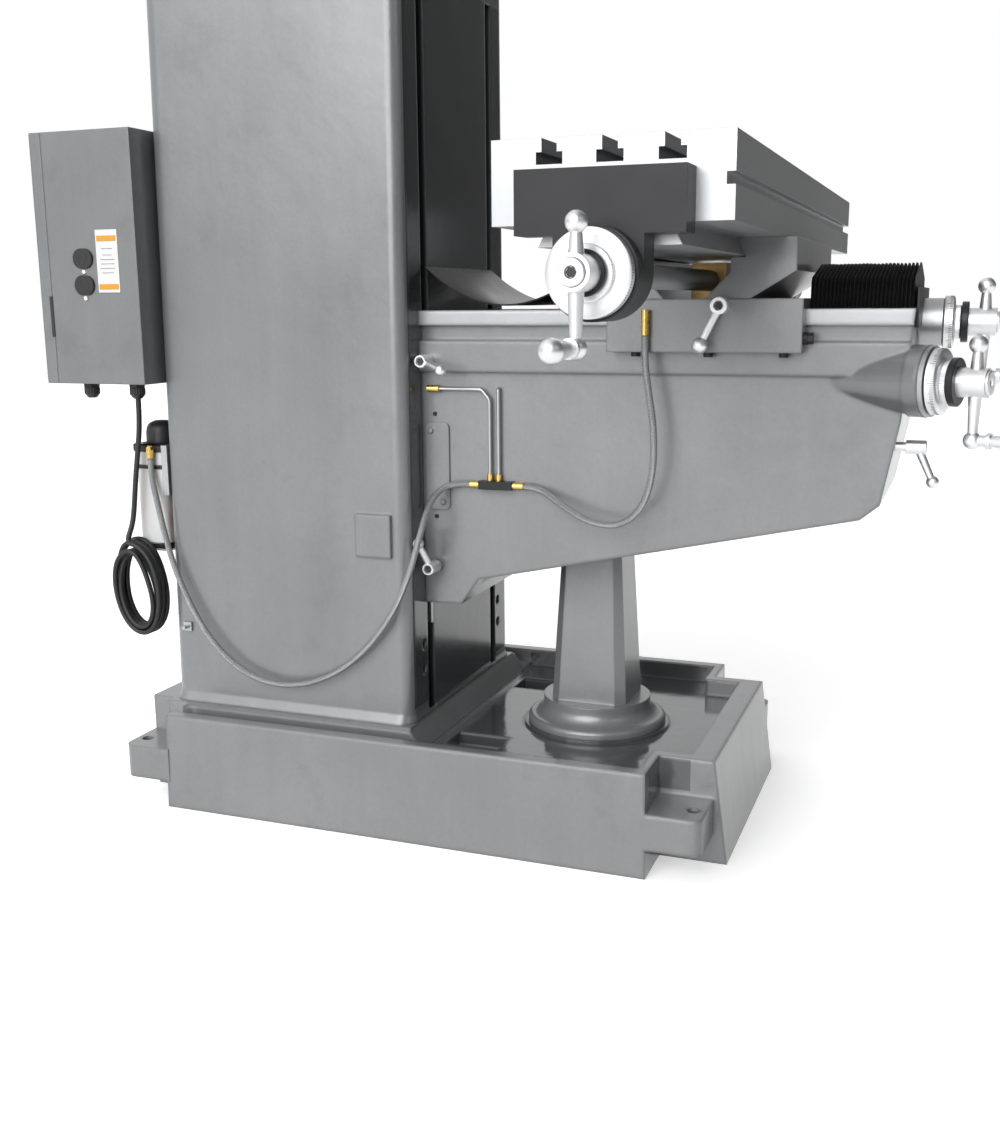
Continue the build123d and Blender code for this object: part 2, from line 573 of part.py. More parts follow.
# ------------------------------------------------------------------ saddle
skirt_inner = KNEE_HALF_WIDTH + SLIDE_GAP
plate_bottom = WAY_Z + SLIDE_GAP
plate_top = plate_bottom + 13
saddle_top = TABLE_UNDERSIDE_Z - SLIDE_GAP
channel_top = TABLE_UNDERSIDE_Z - DOVETAIL_DEPTH - 2
with BuildPart() as saddle_casting:
    length = (-SADDLE_HALF_LENGTH, SADDLE_HALF_LENGTH)
    block(length, (SADDLE_FRONT, SADDLE_REAR), (plate_bottom, plate_top))
    for side in (-1, 1):
        skirt = sorted((side * skirt_inner, side * SADDLE_HALF_LENGTH))
        block(skirt, (SADDLE_FRONT, SADDLE_REAR), (SKIRT_BOTTOM_Z, plate_bottom + 1))
    web = [
        (TABLE_AXIS_Y - 84, plate_top - 1),
        (TABLE_AXIS_Y - 84, plate_top),
        (TABLE_AXIS_Y - SADDLE_TOP_HALF, plate_top + 34),
        (TABLE_AXIS_Y - SADDLE_TOP_HALF, saddle_top),
        (TABLE_AXIS_Y + SADDLE_TOP_HALF, saddle_top),
        (TABLE_AXIS_Y + SADDLE_TOP_HALF, plate_top + 34),
        (TABLE_AXIS_Y + 84, plate_top),
        (TABLE_AXIS_Y + 84, plate_top - 1),
    ]
    prism(web, YZ, SADDLE_HALF_LENGTH - 2, both=True)
    # dovetail slot for the table, and the channel of its screw below
    slope = (DOVETAIL_ROOT_HALF - DOVETAIL_FACE_HALF) / DOVETAIL_DEPTH
    slot_root = DOVETAIL_FACE_HALF + slope * (saddle_top - channel_top)
    slot = [
        (TABLE_AXIS_Y - DOVETAIL_FACE_HALF, saddle_top + 0.01),
        (TABLE_AXIS_Y - slot_root, channel_top),
        (TABLE_AXIS_Y + slot_root, channel_top),
        (TABLE_AXIS_Y + DOVETAIL_FACE_HALF, saddle_top + 0.01),
    ]
    prism(slot, YZ, SADDLE_HALF_LENGTH, both=True, mode=Mode.SUBTRACT)
    channel = [
        (TABLE_AXIS_Y - 26, plate_top),
        (TABLE_AXIS_Y - 58, plate_top + 33),
        (TABLE_AXIS_Y - 58, channel_top + 1),
        (TABLE_AXIS_Y + 58, channel_top + 1),
        (TABLE_AXIS_Y + 58, plate_top + 33),
        (TABLE_AXIS_Y + 26, plate_top),
    ]
    prism(channel, YZ, SADDLE_HALF_LENGTH, both=True, mode=Mode.SUBTRACT)
    rod((-SADDLE_HALF_LENGTH - 1, -434, 749), (-KNEE_HALF_WIDTH - 2, -434, 749), 6 + SHAFT_GAP, Mode.SUBTRACT)
save(saddle_casting.part, "saddle_casting")

with BuildPart() as saddle_keepers:
    keeper_z = (groove_bottom + 1, groove_top - SLIDE_GAP)
    for side in (-1, 1):
        strip = sorted((side * (KNEE_HALF_WIDTH - 11), side * skirt_inner))
        block(strip, (SADDLE_FRONT + 2, SADDLE_REAR - 2), keeper_z)
    with BuildSketch(Plane.XY.offset(SKIRT_BOTTOM_Z)):
        bolt_x = KNEE_HALF_WIDTH + SADDLE_OVERHANG / 2 + 1
        with Locations(*[(side * bolt_x, y) for side in (-1, 1) for y in (-319, -415, -511)]):
            Circle(6)
            RegularPolygon(3, 6, mode=Mode.SUBTRACT)
    extrude(amount=-6)
    # adjusting screw of the saddle's gib
    gib_screw_x = -KNEE_HALF_WIDTH - SADDLE_OVERHANG / 2
    rod((gib_screw_x, SADDLE_FRONT, 708), (gib_screw_x, SADDLE_FRONT - 5, 708), 8)
    with BuildSketch(Plane(origin=(gib_screw_x, SADDLE_FRONT - 5, 708), z_dir=(0, -1, 0))) as head:
        RegularPolygon(7, 6)
    extrude(head.sketch, amount=7)
save(saddle_keepers.part, "saddle_keepers")

with BuildPart() as feed_nuts:
    block((-28, 28), (TABLE_AXIS_Y - 24, TABLE_AXIS_Y + 24), (plate_top, X_SCREW_Z + 24))
    rod((-29, TABLE_AXIS_Y, X_SCREW_Z), (29, TABLE_AXIS_Y, X_SCREW_Z), X_SCREW_RADIUS + SHAFT_GAP, Mode.SUBTRACT)
    block((-28, 28), (-440, -390), (Y_SCREW_Z - 24, plate_bottom))
    rod((0, -441, Y_SCREW_Z), (0, -389, Y_SCREW_Z), Y_SCREW_RADIUS + SHAFT_GAP, Mode.SUBTRACT)
save(feed_nuts.part, "feed_nuts")

# ------------------------------------------------------------------ cross-feed screw
y_dial_at = Vector(0, KNEE_FRONT - 28 - FREE_GAP, Y_SCREW_Z)
toward_front = Vector(0, -1, 0)
with BuildPart() as y_screw:
    rod((0, -70, Y_SCREW_Z), (0, y_dial_at.Y - 62, Y_SCREW_Z), Y_SCREW_RADIUS)
    chamfer(y_screw.edges().sort_by(Axis.Y)[-1], 2)
save(y_screw.part, "y_screw")

with BuildPart() as y_dial:
    dial(y_dial_at, toward_front, Y_DIAL_RADIUS, Y_SCREW_RADIUS + HUB_FIT)
save(y_dial.part, "y_dial")

with BuildPart() as y_crank:
    crank(y_dial_at + toward_front * 22, toward_front, Vector(0, 0, -1), Y_SCREW_RADIUS + HUB_FIT)
save(y_crank.part, "y_crank")

# ------------------------------------------------------------------ way covers
with BuildPart() as front_bellows:
    block((-124, 124), (KNEE_FRONT + 4, SADDLE_FRONT - 1), (WAY_Z + 1, 802))
    fold_edges = front_bellows.edges().filter_by(Axis.Y).group_by(Axis.Z)[-1]
    chamfer(fold_edges, 16)
save(front_bellows.part, "front_bellows")

with BuildPart() as bellows_plate:
    block((-124, 124), (KNEE_FRONT - 3, KNEE_FRONT), (WAY_Z - 24, 770))
    rod((0, KNEE_FRONT + 1, Y_SCREW_Z), (0, KNEE_FRONT - 4, Y_SCREW_Z), 31.5, Mode.SUBTRACT)
save(bellows_plate.part, "bellows_plate")

SHEET_THICKNESS = 3
sheet_rear = (-1.5, 806)
sheet_front = (TABLE_AXIS_Y + SADDLE_TOP_HALF + 1, 806)
sheet_sag = ((sheet_rear[0] + sheet_front[0]) / 2, 752)
with BuildPart() as rear_way_sheet:
    with BuildSketch(YZ) as sheet_section:
        with BuildLine():
            upper = ThreePointArc(sheet_rear, sheet_sag, sheet_front)
            lower = ThreePointArc(
                (sheet_rear[0], sheet_rear[1] - SHEET_THICKNESS),
                (sheet_sag[0], sheet_sag[1] - SHEET_THICKNESS),
                (sheet_front[0], sheet_front[1] - SHEET_THICKNESS),
            )
            Line(upper @ 0, lower @ 0)
            Line(upper @ 1, lower @ 1)
        make_face()
    extrude(sheet_section.sketch, amount=130, both=True)
save(rear_way_sheet.part, "rear_way_sheet")

# ------------------------------------------------------------------ table
table_top = TABLE_UNDERSIDE_Z + TABLE_THICKNESS
with BuildPart() as table:
    g = SLIDE_GAP * 1.2
    tail_half = DOVETAIL_FACE_HALF + slope * DOVETAIL_DEPTH
    section = [
        (TABLE_AXIS_Y - TABLE_HALF_WIDTH, TABLE_UNDERSIDE_Z),
        (TABLE_AXIS_Y - TABLE_HALF_WIDTH, table_top),
        (TABLE_AXIS_Y + TABLE_HALF_WIDTH, table_top),
        (TABLE_AXIS_Y + TABLE_HALF_WIDTH, TABLE_UNDERSIDE_Z),
        (TABLE_AXIS_Y + DOVETAIL_FACE_HALF - g, TABLE_UNDERSIDE_Z),
        (TABLE_AXIS_Y + tail_half - g, TABLE_UNDERSIDE_Z - DOVETAIL_DEPTH),
        (TABLE_AXIS_Y - tail_half + g, TABLE_UNDERSIDE_Z - DOVETAIL_DEPTH),
        (TABLE_AXIS_Y - DOVETAIL_FACE_HALF + g, TABLE_UNDERSIDE_Z),
    ]
    prism(section, YZ, TABLE_HALF_LENGTH, both=True)
    slot_ys = [TABLE_AXIS_Y + i * T_SLOT_PITCH for i in (-1, 0, 1)]
    length = (-TABLE_HALF_LENGTH - 1, TABLE_HALF_LENGTH + 1)
    throat_z = (table_top - T_SLOT_THROAT_DEPTH - 1, table_top + 1)
    head_z = (table_top - T_SLOT_THROAT_DEPTH - T_SLOT_HEAD_DEPTH, table_top - T_SLOT_THROAT_DEPTH)
    for y in slot_ys:
        block(length, (y - T_SLOT_THROAT / 2, y + T_SLOT_THROAT / 2), throat_z, Mode.SUBTRACT)
        block(length, (y - T_SLOT_HEAD / 2, y + T_SLOT_HEAD / 2), head_z, Mode.SUBTRACT)
    # coolant gutters along both edges, and the stop groove in the front face
    for side in (-1, 1):
        edge_y = TABLE_AXIS_Y + side * (TABLE_HALF_WIDTH - 15)
        block((-498, 498), (edge_y - 6, edge_y + 6), (table_top - 6, table_top + 1), Mode.SUBTRACT)
    front_y = TABLE_AXIS_Y - TABLE_HALF_WIDTH
    block(length, (front_y - 1, front_y + 9), (866, 878), Mode.SUBTRACT)
save(table.part, "table")

bracket_half = 88
bracket_out = TABLE_HALF_LENGTH + BRACKET_THICKNESS
bearing_out = bracket_out + 20
with BuildPart() as table_end_brackets:
    for side in (-1, 1):
        plate = sorted((side * TABLE_HALF_LENGTH, side * bracket_out))
        plate_y = (TABLE_AXIS_Y - bracket_half, TABLE_AXIS_Y + bracket_half)
        block(plate, plate_y, (TABLE_UNDERSIDE_Z - 12, table_top - 34))
        boss_in = side * TABLE_HALF_LENGTH
        rod((boss_in, TABLE_AXIS_Y, X_SCREW_Z), (side * bearing_out, TABLE_AXIS_Y, X_SCREW_Z), 47)
        block(plate, (TABLE_AXIS_Y - 47, TABLE_AXIS_Y + 47), (X_SCREW_Z, TABLE_UNDERSIDE_Z))
    bore_half = bearing_out + 1
    rod(
        (-bore_half, TABLE_AXIS_Y, X_SCREW_Z),
        (bore_half, TABLE_AXIS_Y, X_SCREW_Z),
        X_SCREW_RADIUS + SHAFT_GAP,
        Mode.SUBTRACT,
    )
save(table_end_brackets.part, "table_end_brackets")

x_dial_at = bearing_out + FREE_GAP
with BuildPart() as x_screw:
    rod((-x_dial_at - 62, TABLE_AXIS_Y, X_SCREW_Z), (x_dial_at + 62, TABLE_AXIS_Y, X_SCREW_Z), X_SCREW_RADIUS)
save(x_screw.part, "x_screw")

x_faces = [(Vector(side, 0, 0), Vector(side * x_dial_at, TABLE_AXIS_Y, X_SCREW_Z)) for side in (-1, 1)]
with BuildPart() as x_dials:
    for outward, face in x_faces:
        dial(face, outward, DIAL_RADIUS + 3, X_SCREW_RADIUS + HUB_FIT)
save(x_dials.part, "x_dials")

with BuildPart() as x_cranks:
    for outward, face in x_faces:
        crank(face + outward * 22, outward, Vector(0, 0, -1), X_SCREW_RADIUS + HUB_FIT)
save(x_cranks.part, "x_cranks")


# ------------------------------------------------------------------ clamp levers
def ball_lever(socket_end, hub_start, hub_end, ball, ball_radius=8, hub_radius=9):
    """A clamp lever: stud, round hub, tapered arm and ball."""
    rod(socket_end, hub_start, 6)
    rod(hub_start, hub_end, hub_radius)
    middle = (Vector(*hub_start) + Vector(*hub_end) * 2) / 3
    taper_rod(middle, ball, 5.5, 4.5)
    with Locations(ball):
        Sphere(ball_radius)


lock_ball_x = -KNEE_HALF_WIDTH - 40
lock_balls = [(lock_ball_x, -50, 664), (lock_ball_x, -11, 419)]
for name, (y, z), ball in zip(("knee_lock_upper", "knee_lock_lower"), knee_lock_places, lock_balls):
    with BuildPart() as knee_lock:
        stud_end = (-KNEE_HALF_WIDTH + 24, y, z)
        ball_lever(stud_end, (-KNEE_HALF_WIDTH - FREE_GAP, y, z), (-KNEE_HALF_WIDTH - 26, y, z), ball)
    save(knee_lock.part, name)

with BuildPart() as knee_front_lock:
    ball_lever((-112, -624, 570), (-112, -662, 570), (-112, -684, 570), (-112, -697, 526))
save(knee_front_lock.part, "knee_front_lock")

with BuildPart() as saddle_lock:
    start = -SADDLE_HALF_LENGTH
    lever_end = (start - 25, -412, 700)
    stud_tip = (-KNEE_HALF_WIDTH - 4, -434, 749)
    ball_lever(stud_tip, (start - FREE_GAP, -434, 749), (start - 22, -434, 749), lever_end, 10, 11)
save(saddle_lock.part, "saddle_lock")

# ------------------------------------------------------------------ lubrication
LINE_X = -KNEE_LOWER_HALF - 7
side_face = -KNEE_LOWER_HALF
with BuildPart() as lube_manifold:
    block((side_face - 14, side_face), (-140, -90), (496, 508))
save(lube_manifold.part, "lube_manifold")

with BuildPart() as brass_fittings:
    rod((LINE_X, -140, 502), (LINE_X, -156, 502), 5)
    rod((LINE_X, -90, 502), (LINE_X, -76, 502), 5)
    rod((LINE_X, -106, 508), (LINE_X, -106, 518), 4)
    rod((LINE_X, -119, 508), (LINE_X, -119, 518), 4)
    rod((LINE_X, -12, 636), (LINE_X, -30, 636), 5)
save(brass_fittings.part, "brass_fittings")

LINE_RADIUS = 2.5
with BuildPart() as lube_lines:
    with BuildLine() as first_line:
        FilletPolyline((LINE_X, -30, 636), (LINE_X, -94, 636), (LINE_X, -106, 622), (LINE_X, -106, 518), radius=9)
    with BuildSketch(Plane(origin=(LINE_X, -30, 636), z_dir=(0, -1, 0))) as first_section:
        Circle(LINE_RADIUS)
    sweep(sections=first_section.sketch, path=first_line.wires()[0])
    with BuildLine() as second_line:
        FilletPolyline((side_face, -119, 637), (LINE_X, -119, 637), (LINE_X, -119, 518), radius=4)
    with BuildSketch(Plane(origin=(side_face, -119, 637), z_dir=(-1, 0, 0))) as second_section:
        Circle(LINE_RADIUS)
    sweep(sections=second_section.sketch, path=second_line.wires()[0])
save(lube_lines.part, "lube_lines")

with BuildPart() as saddle_fitting:
    fitting_y = -337
    rod((-SADDLE_HALF_LENGTH, fitting_y, 738), (-SADDLE_HALF_LENGTH - 9, fitting_y, 738), 4)
    rod((-SADDLE_HALF_LENGTH - 9, fitting_y, 744), (-SADDLE_HALF_LENGTH - 9, fitting_y, 712), 5)
save(saddle_fitting.part, "saddle_fitting")


def tube(name, points, radius):
    """A hose or cord along straight runs joined by tangent arcs."""
    corners = [Vector(*p) for p in points]
    radii = []
    for before, corner, after in zip(corners, corners[1:], corners[2:]):
        turn = radians((corner - before).get_angle(after - corner))
        shorter = min((corner - before).length, (after - corner).length)
        radii.append(0.45 * shorter / tan(turn / 2))
    print(name, "radii", [round(r) for r in radii])
    with BuildPart() as sleeve:
        with BuildLine() as route:
            FilletPolyline(*points, radius=radii)
        with BuildSketch(Plane(origin=corners[0], z_dir=corners[1] - corners[0])) as section:
            Circle(radius)
        sweep(sections=section.sketch, path=route.wires()[0])
    length = route.wires()[0].length
    print(name, "length", round(length), "volume ratio", round(sleeve.part.volume / (pi * radius**2 * length), 3))
    save(sleeve.part, name)


SADDLE_HOSE = [
    (LINE_X, -156, 502),
    (LINE_X, -178, 502),
    (-168, -214, 484),
    (-180, -252, 465),
    (-186, -290, 458),
    (-190, -320, 468),
    (-192, -341, 494),
    (-193, -352, 536),
    (-193, -352, 590),
    (-192, -343, 642),
    (-191, -337, 682),
    (-191, -337, 712),
]
PUMP_HOSE = [
    (LINE_X, -76, 502),
    (LINE_X, -56, 502),
    (-160, -38, 497),
    (-176, -28, 484),
    (-194, -24, 462),
    (-210, -20, 428),
    (-219, -6, 372),
    (-221, 22, 314),
    (-222, 64, 261),
    (-221, 120, 217),
    (-220, 186, 195),
    (-220, 248, 199),
    (-219, 298, 226),
    (-219, 337, 268),
    (-218, 366, 318),
    (-217, 389, 372),
    (-214, 404, 424),
    (-206, 418, 464),
    (-196, 432, 496),
    (-196, 432, 526),
]
tube("hose_saddle", SADDLE_HOSE, HOSE_RADIUS)
tube("hose_pump", PUMP_HOSE, HOSE_RADIUS)

# ------------------------------------------------------------------ lubrication pump
pump_x = (-188, -94)
pump_y = (413, 466)
with BuildPart() as pump_reservoir:
    block(pump_x, pump_y, (380, 534))
    fillet(pump_reservoir.edges().filter_by(Axis.Z), 6)
    tank = offset(pump_reservoir.part, amount=-3, mode=Mode.PRIVATE)
    add(tank, mode=Mode.SUBTRACT)
save(pump_reservoir.part, "pump_reservoir")

with BuildPart() as pump_head:
    block((pump_x[0] - 2, pump_x[1] + 2), (pump_y[0] - 1, pump_y[1] + 2), (534, 546))
    with BuildSketch(Plane.XY.offset(546)):
        with Locations((-150, 441)):
            Circle(24)
    extrude(amount=34)
    # outlet elbow
    rod((-189, 432, 540), (-196, 432, 540), 4)
    rod((-196, 432, 545), (-196, 432, 526), 5)
save(pump_head.part, "pump_head")

with BuildPart() as pump_bracket:
    block((-196, -86), (402, pump_y[0] - 1), (470, 546))
save(pump_bracket.part, "pump_bracket")

# ------------------------------------------------------------------ electrical box
with BuildPart() as electrical_box:
    block((BOX_LEFT, BOX_RIGHT), (BOX_FRONT, BOX_REAR), (BOX_BOTTOM_Z, BOX_TOP_Z))
    inner_x = (BOX_LEFT + BOX_WALL, BOX_RIGHT - BOX_WALL)
    inner_z = (BOX_BOTTOM_Z + BOX_WALL, BOX_TOP_Z - BOX_WALL)
    block(inner_x, (BOX_FRONT + BOX_WALL, BOX_REAR + 1), inner_z, Mode.SUBTRACT)
    # fixed halves of the door's hinges
    for z in HINGE_ZS:
        fixed_z = (z - KNUCKLE_LENGTH - FREE_GAP, z - FREE_GAP)
        rod((HINGE_X, HINGE_Y, fixed_z[0]), (HINGE_X, HINGE_Y, fixed_z[1]), HINGE_RADIUS)
        block((BOX_RIGHT - 1, BOX_RIGHT + 3), (BOX_REAR - 24, BOX_REAR - 2), fixed_z)
        block((BOX_RIGHT + 1, BOX_RIGHT + 3.5), (BOX_REAR - 6, HINGE_Y), fixed_z)
save(electrical_box.part, "electrical_box")

with BuildPart() as box_door:
    block((BOX_LEFT, BOX_RIGHT), (BOX_REAR + FREE_GAP, BOX_REAR + DOOR_THICKNESS), (BOX_BOTTOM_Z, BOX_TOP_Z))
    block(inner_x, (BOX_REAR - 1, BOX_REAR + DOOR_THICKNESS - BOX_WALL), inner_z, Mode.SUBTRACT)
    rod((BOX_LEFT + 24, BOX_REAR + DOOR_THICKNESS, 820), (BOX_LEFT + 24, BOX_REAR + DOOR_THICKNESS + 9, 820), 10)
    for z in HINGE_ZS:
        rod((HINGE_X, HINGE_Y, z), (HINGE_X, HINGE_Y, z + KNUCKLE_LENGTH), HINGE_RADIUS)
        block((BOX_RIGHT - 2, HINGE_X - 1), (HINGE_Y - 3, HINGE_Y + 3), (z, z + KNUCKLE_LENGTH))
save(box_door.part, "box_door")

with BuildPart() as box_panel:
    panel_y = BOX_FRONT + BOX_WALL
    block((BOX_LEFT + 20, BOX_RIGHT - 20), (panel_y, panel_y + 3), (BOX_BOTTOM_Z + 20, BOX_TOP_Z - 20))
    for x in (-190, -130, -70):
        block((x, x + 45), (panel_y + 3, panel_y + 80), (870, 950))
    block((20, 110), (panel_y + 3, panel_y + 85), (850, 950))
    block((-190, 110), (panel_y + 3, panel_y + 40), (700, 740))
save(box_panel.part, "box_panel")

with BuildPart() as duplex_outlet:
    outlet_plane = Plane(origin=(BOX_LEFT, OUTLET_Y, OUTLET_Z), x_dir=(0, -1, 0), z_dir=(-1, 0, 0))
    outlet_spots = [(0, -OUTLET_PITCH / 2), (0, OUTLET_PITCH / 2)]
    with BuildSketch(outlet_plane):
        with Locations(*outlet_spots):
            RectangleRounded(34, 28.6, 11)
    extrude(amount=4)
    with BuildSketch(outlet_plane.offset(1)):
        with Locations(*outlet_spots):
            with Locations((-6.3, 3), (6.3, 3)):
                Rectangle(2, 8)
            with Locations((0, -7)):
                Circle(2.4)
    extrude(amount=4, mode=Mode.SUBTRACT)
save(duplex_outlet.part, "duplex_outlet")

with BuildPart() as rating_label:
    block((BOX_LEFT - 0.8, BOX_LEFT), (432, 471), (772, 862))
save(rating_label.part, "rating_label")

with BuildPart() as cable_glands:
    with BuildSketch(Plane.XY.offset(BOX_BOTTOM_Z)):
        with Locations(*[(GLAND_X, y) for y in GLAND_YS]):
            RegularPolygon(GLAND_RADIUS + 1, 6)
    extrude(amount=-10)
    with BuildSketch(Plane.XY.offset(BOX_BOTTOM_Z)):
        with Locations(*[(GLAND_X, y) for y in GLAND_YS]):
            Circle(GLAND_RADIUS - 2)
    extrude(amount=-GLAND_LENGTH)
save(cable_glands.part, "cable_glands")

POWER_CORD = [
    (GLAND_X, GLAND_YS[0], BOX_BOTTOM_Z - GLAND_LENGTH),
    (GLAND_X, GLAND_YS[0], 582),
    (-201, 450, 538),
    (-205, 455, 494),
    (-206, 460, 450),
    (-209, 463, 424),
    (-210, 463, 400),
]
tube("power_cord", POWER_CORD, CORD_RADIUS)

COIL_CENTRE = (457, 327)
COIL_LONG = 80
COIL_SHORT = 49
COIL_X = (-228, -191)
with BuildPart() as power_cord_coil:
    with BuildSketch(YZ.offset(COIL_X[0])) as loop:
        with Locations(Location(COIL_CENTRE, -8)):
            Ellipse(COIL_SHORT, COIL_LONG)
            Ellipse(COIL_SHORT - 28, COIL_LONG - 28, mode=Mode.SUBTRACT)
    extrude(loop.sketch, amount=COIL_X[1] - COIL_X[0])
save(power_cord_coil.part, "power_cord_coil")

with BuildPart() as cord_clip:
    clip_x = -COLUMN_HALF_WIDTH - 0.2
    block((clip_x - 3, clip_x), (368, 382), (262, 276))
    rod((clip_x - 3, 375, 269), (clip_x - 14, 375, 269), 3)
save(cord_clip.part, "cord_clip")

# ------------------------------------------------------------------ turret and ram
RAM_BOTTOM_Z = TURRET_TOP_Z + SLIDE_GAP
RAM_BODY_HALF = 66
CRADLE_HEIGHT = 32
ram_top = RAM_BOTTOM_Z + RAM_HEIGHT
ram_axis_z = RAM_Z
with BuildPart() as turret:
    with BuildSketch(Plane.XY.offset(COLUMN_TOP_Z + SLIDE_GAP)):
        with Locations((0, TURRET_Y)):
            Circle(TURRET_RADIUS)
    extrude(amount=TURRET_TOP_Z - COLUMN_TOP_Z - SLIDE_GAP)
    with BuildSketch(Plane.XY.offset(COLUMN_TOP_Z - 36)):
        with Locations((0, TURRET_Y)):
            Circle(60 - SHAFT_GAP)
    extrude(amount=38)
    for side in (-1, 1):
        cheek = [
            (side * (RAM_HALF_WIDTH + flank_gap), TURRET_TOP_Z - 1),
            (side * (RAM_HALF_WIDTH + flank_gap), TURRET_TOP_Z),
            (side * (RAM_BODY_HALF + flank_gap), TURRET_TOP_Z + CRADLE_HEIGHT),
            (side * 132, TURRET_TOP_Z + CRADLE_HEIGHT),
            (side * 140, TURRET_TOP_Z - 1),
        ]
        prism(cheek, Plane.XZ.offset(-TURRET_Y - 118), 236)
save(turret.part, "turret")

KNUCKLE_Y = -198
FORK_RADIUS = 70
KNUCKLE_HALF = 50
FLANGE_FACE = 82
with BuildPart() as ram:
    ram_section = [
        (-RAM_HALF_WIDTH, RAM_BOTTOM_Z),
        (-RAM_BODY_HALF, RAM_BOTTOM_Z + CRADLE_HEIGHT),
        (-RAM_BODY_HALF, ram_top - 14),
        (-RAM_BODY_HALF + 14, ram_top),
        (RAM_BODY_HALF - 14, ram_top),
        (RAM_BODY_HALF, ram_top - 14),
        (RAM_BODY_HALF, RAM_BOTTOM_Z + CRADLE_HEIGHT),
        (RAM_HALF_WIDTH, RAM_BOTTOM_Z),
    ]
    fork_root = KNUCKLE_Y + FORK_RADIUS
    prism(ram_section, Plane.XZ.offset(-RAM_REAR), RAM_REAR - fork_root - 14)
    for side in (-1, 1):
        inner = side * (KNUCKLE_HALF + FREE_GAP)
        rod((inner, KNUCKLE_Y, ram_axis_z), (side * 80, KNUCKLE_Y, ram_axis_z), FORK_RADIUS)
        cheek_x = sorted((inner, side * 80))
        block(cheek_x, (KNUCKLE_Y, fork_root + 15), (ram_axis_z - 56, ram_axis_z + 56))
    block((-80, 80), (fork_root + 3, fork_root + 16), (ram_axis_z - 56, ram_axis_z + 56))
    rod((-81, KNUCKLE_Y, ram_axis_z), (81, KNUCKLE_Y, ram_axis_z), 18 + SHAFT_GAP, Mode.SUBTRACT)
    # swept clearance of the knuckle's barrel inside the fork
    rod(
        (-KNUCKLE_HALF - FREE_GAP, KNUCKLE_Y, ram_axis_z),
        (KNUCKLE_HALF + FREE_GAP, KNUCKLE_Y, ram_axis_z),
        FORK_RADIUS + 2,
        Mode.SUBTRACT,
    )
save(ram.part, "ram")

with BuildPart() as ram_handle:
    handle_y = TURRET_Y - 60
    handle_z = TURRET_TOP_Z + 20
    hub_start = (142, handle_y, handle_z)
    hub_end = (180, handle_y, handle_z)
    handle_ball = (184, handle_y - 50, handle_z + 60)
    ball_lever((137.5, handle_y, handle_z), hub_start, hub_end, handle_ball, 12, 17)
save(ram_handle.part, "ram_handle")

with BuildPart() as knuckle:
    rod((-KNUCKLE_HALF, KNUCKLE_Y, ram_axis_z), (KNUCKLE_HALF, KNUCKLE_Y, ram_axis_z), FORK_RADIUS - 2)
    rod((-84, KNUCKLE_Y, ram_axis_z), (84, KNUCKLE_Y, ram_axis_z), 18)
    block((-KNUCKLE_HALF, KNUCKLE_HALF), (KNUCKLE_Y - FLANGE_FACE - 2, KNUCKLE_Y), (ram_axis_z - 48, ram_axis_z + 48))
    flange_back = KNUCKLE_Y - FLANGE_FACE
    flange_front = flange_back - 16
    rod((0, flange_back, ram_axis_z), (0, flange_front, ram_axis_z), KNUCKLE_RADIUS)
save(knuckle.part, "knuckle")

# ------------------------------------------------------------------ head
head_back = flange_front - SLIDE_GAP
head_front = SPINDLE_Y - 72
with BuildPart() as head_housing:
    rod((0, head_back, ram_axis_z), (0, head_back - 18, ram_axis_z), KNUCKLE_RADIUS)
    with BuildSketch(Plane.XY.offset(HEAD_BOTTOM_Z)):
        with Locations((0, (head_back - 17 + head_front) / 2)):
            RectangleRounded(152, head_back - 17 - head_front, 30)
    extrude(amount=HEAD_TOP_Z - HEAD_BOTTOM_Z)
    with Locations((0, SPINDLE_Y, HEAD_TOP_Z)):
        Hole(QUILL_RADIUS + SLIDE_GAP, depth=HEAD_TOP_Z - HEAD_BOTTOM_Z + 1)
    block((-10, 10), (head_front - 1, SPINDLE_Y - 30), (1300, 1480), Mode.SUBTRACT)
    feed_y = SPINDLE_Y + 44
    rod((38, feed_y, 1470), (77, feed_y, 1470), 9 + SHAFT_GAP, Mode.SUBTRACT)
    rod((-46, head_front - 1, 1400), (-46, head_front + 24, 1400), 7 + SHAFT_GAP, Mode.SUBTRACT)
save(head_housing.part, "head_housing")

with BuildPart() as belt_housing:
    belt_mid = (SPINDLE_Y + MOTOR_Y) / 2
    belt_reach = MOTOR_Y - SPINDLE_Y
    with BuildSketch(Plane.XY.offset(HEAD_TOP_Z)):
        with Locations((0, belt_mid)):
            SlotCenterToCenter(belt_reach, 210, rotation=90)
    extrude(amount=BELT_TOP_Z - HEAD_TOP_Z)
    with BuildSketch(Plane.XY.offset(HEAD_TOP_Z + 10)):
        with Locations((0, belt_mid)):
            SlotCenterToCenter(belt_reach, 186, rotation=90)
    extrude(amount=BELT_TOP_Z - HEAD_TOP_Z - 22, mode=Mode.SUBTRACT)
    with Locations((0, SPINDLE_Y, BELT_TOP_Z)):
        Hole(24, depth=BELT_TOP_Z - HEAD_TOP_Z + 1)
save(belt_housing.part, "belt_housing")

with BuildPart() as motor:
    rod((0, MOTOR_Y, BELT_TOP_Z), (0, MOTOR_Y, BELT_TOP_Z + 20), MOTOR_RADIUS + 8)
    rod((0, MOTOR_Y, BELT_TOP_Z + 20), (0, MOTOR_Y, MOTOR_TOP_Z), MOTOR_RADIUS)
    fillet(motor.edges().sort_by(Axis.Z)[-1], 18)
    block((-50, 50), (MOTOR_Y + 60, MOTOR_Y + 132), (1880, 1960))
save(motor.part, "motor")

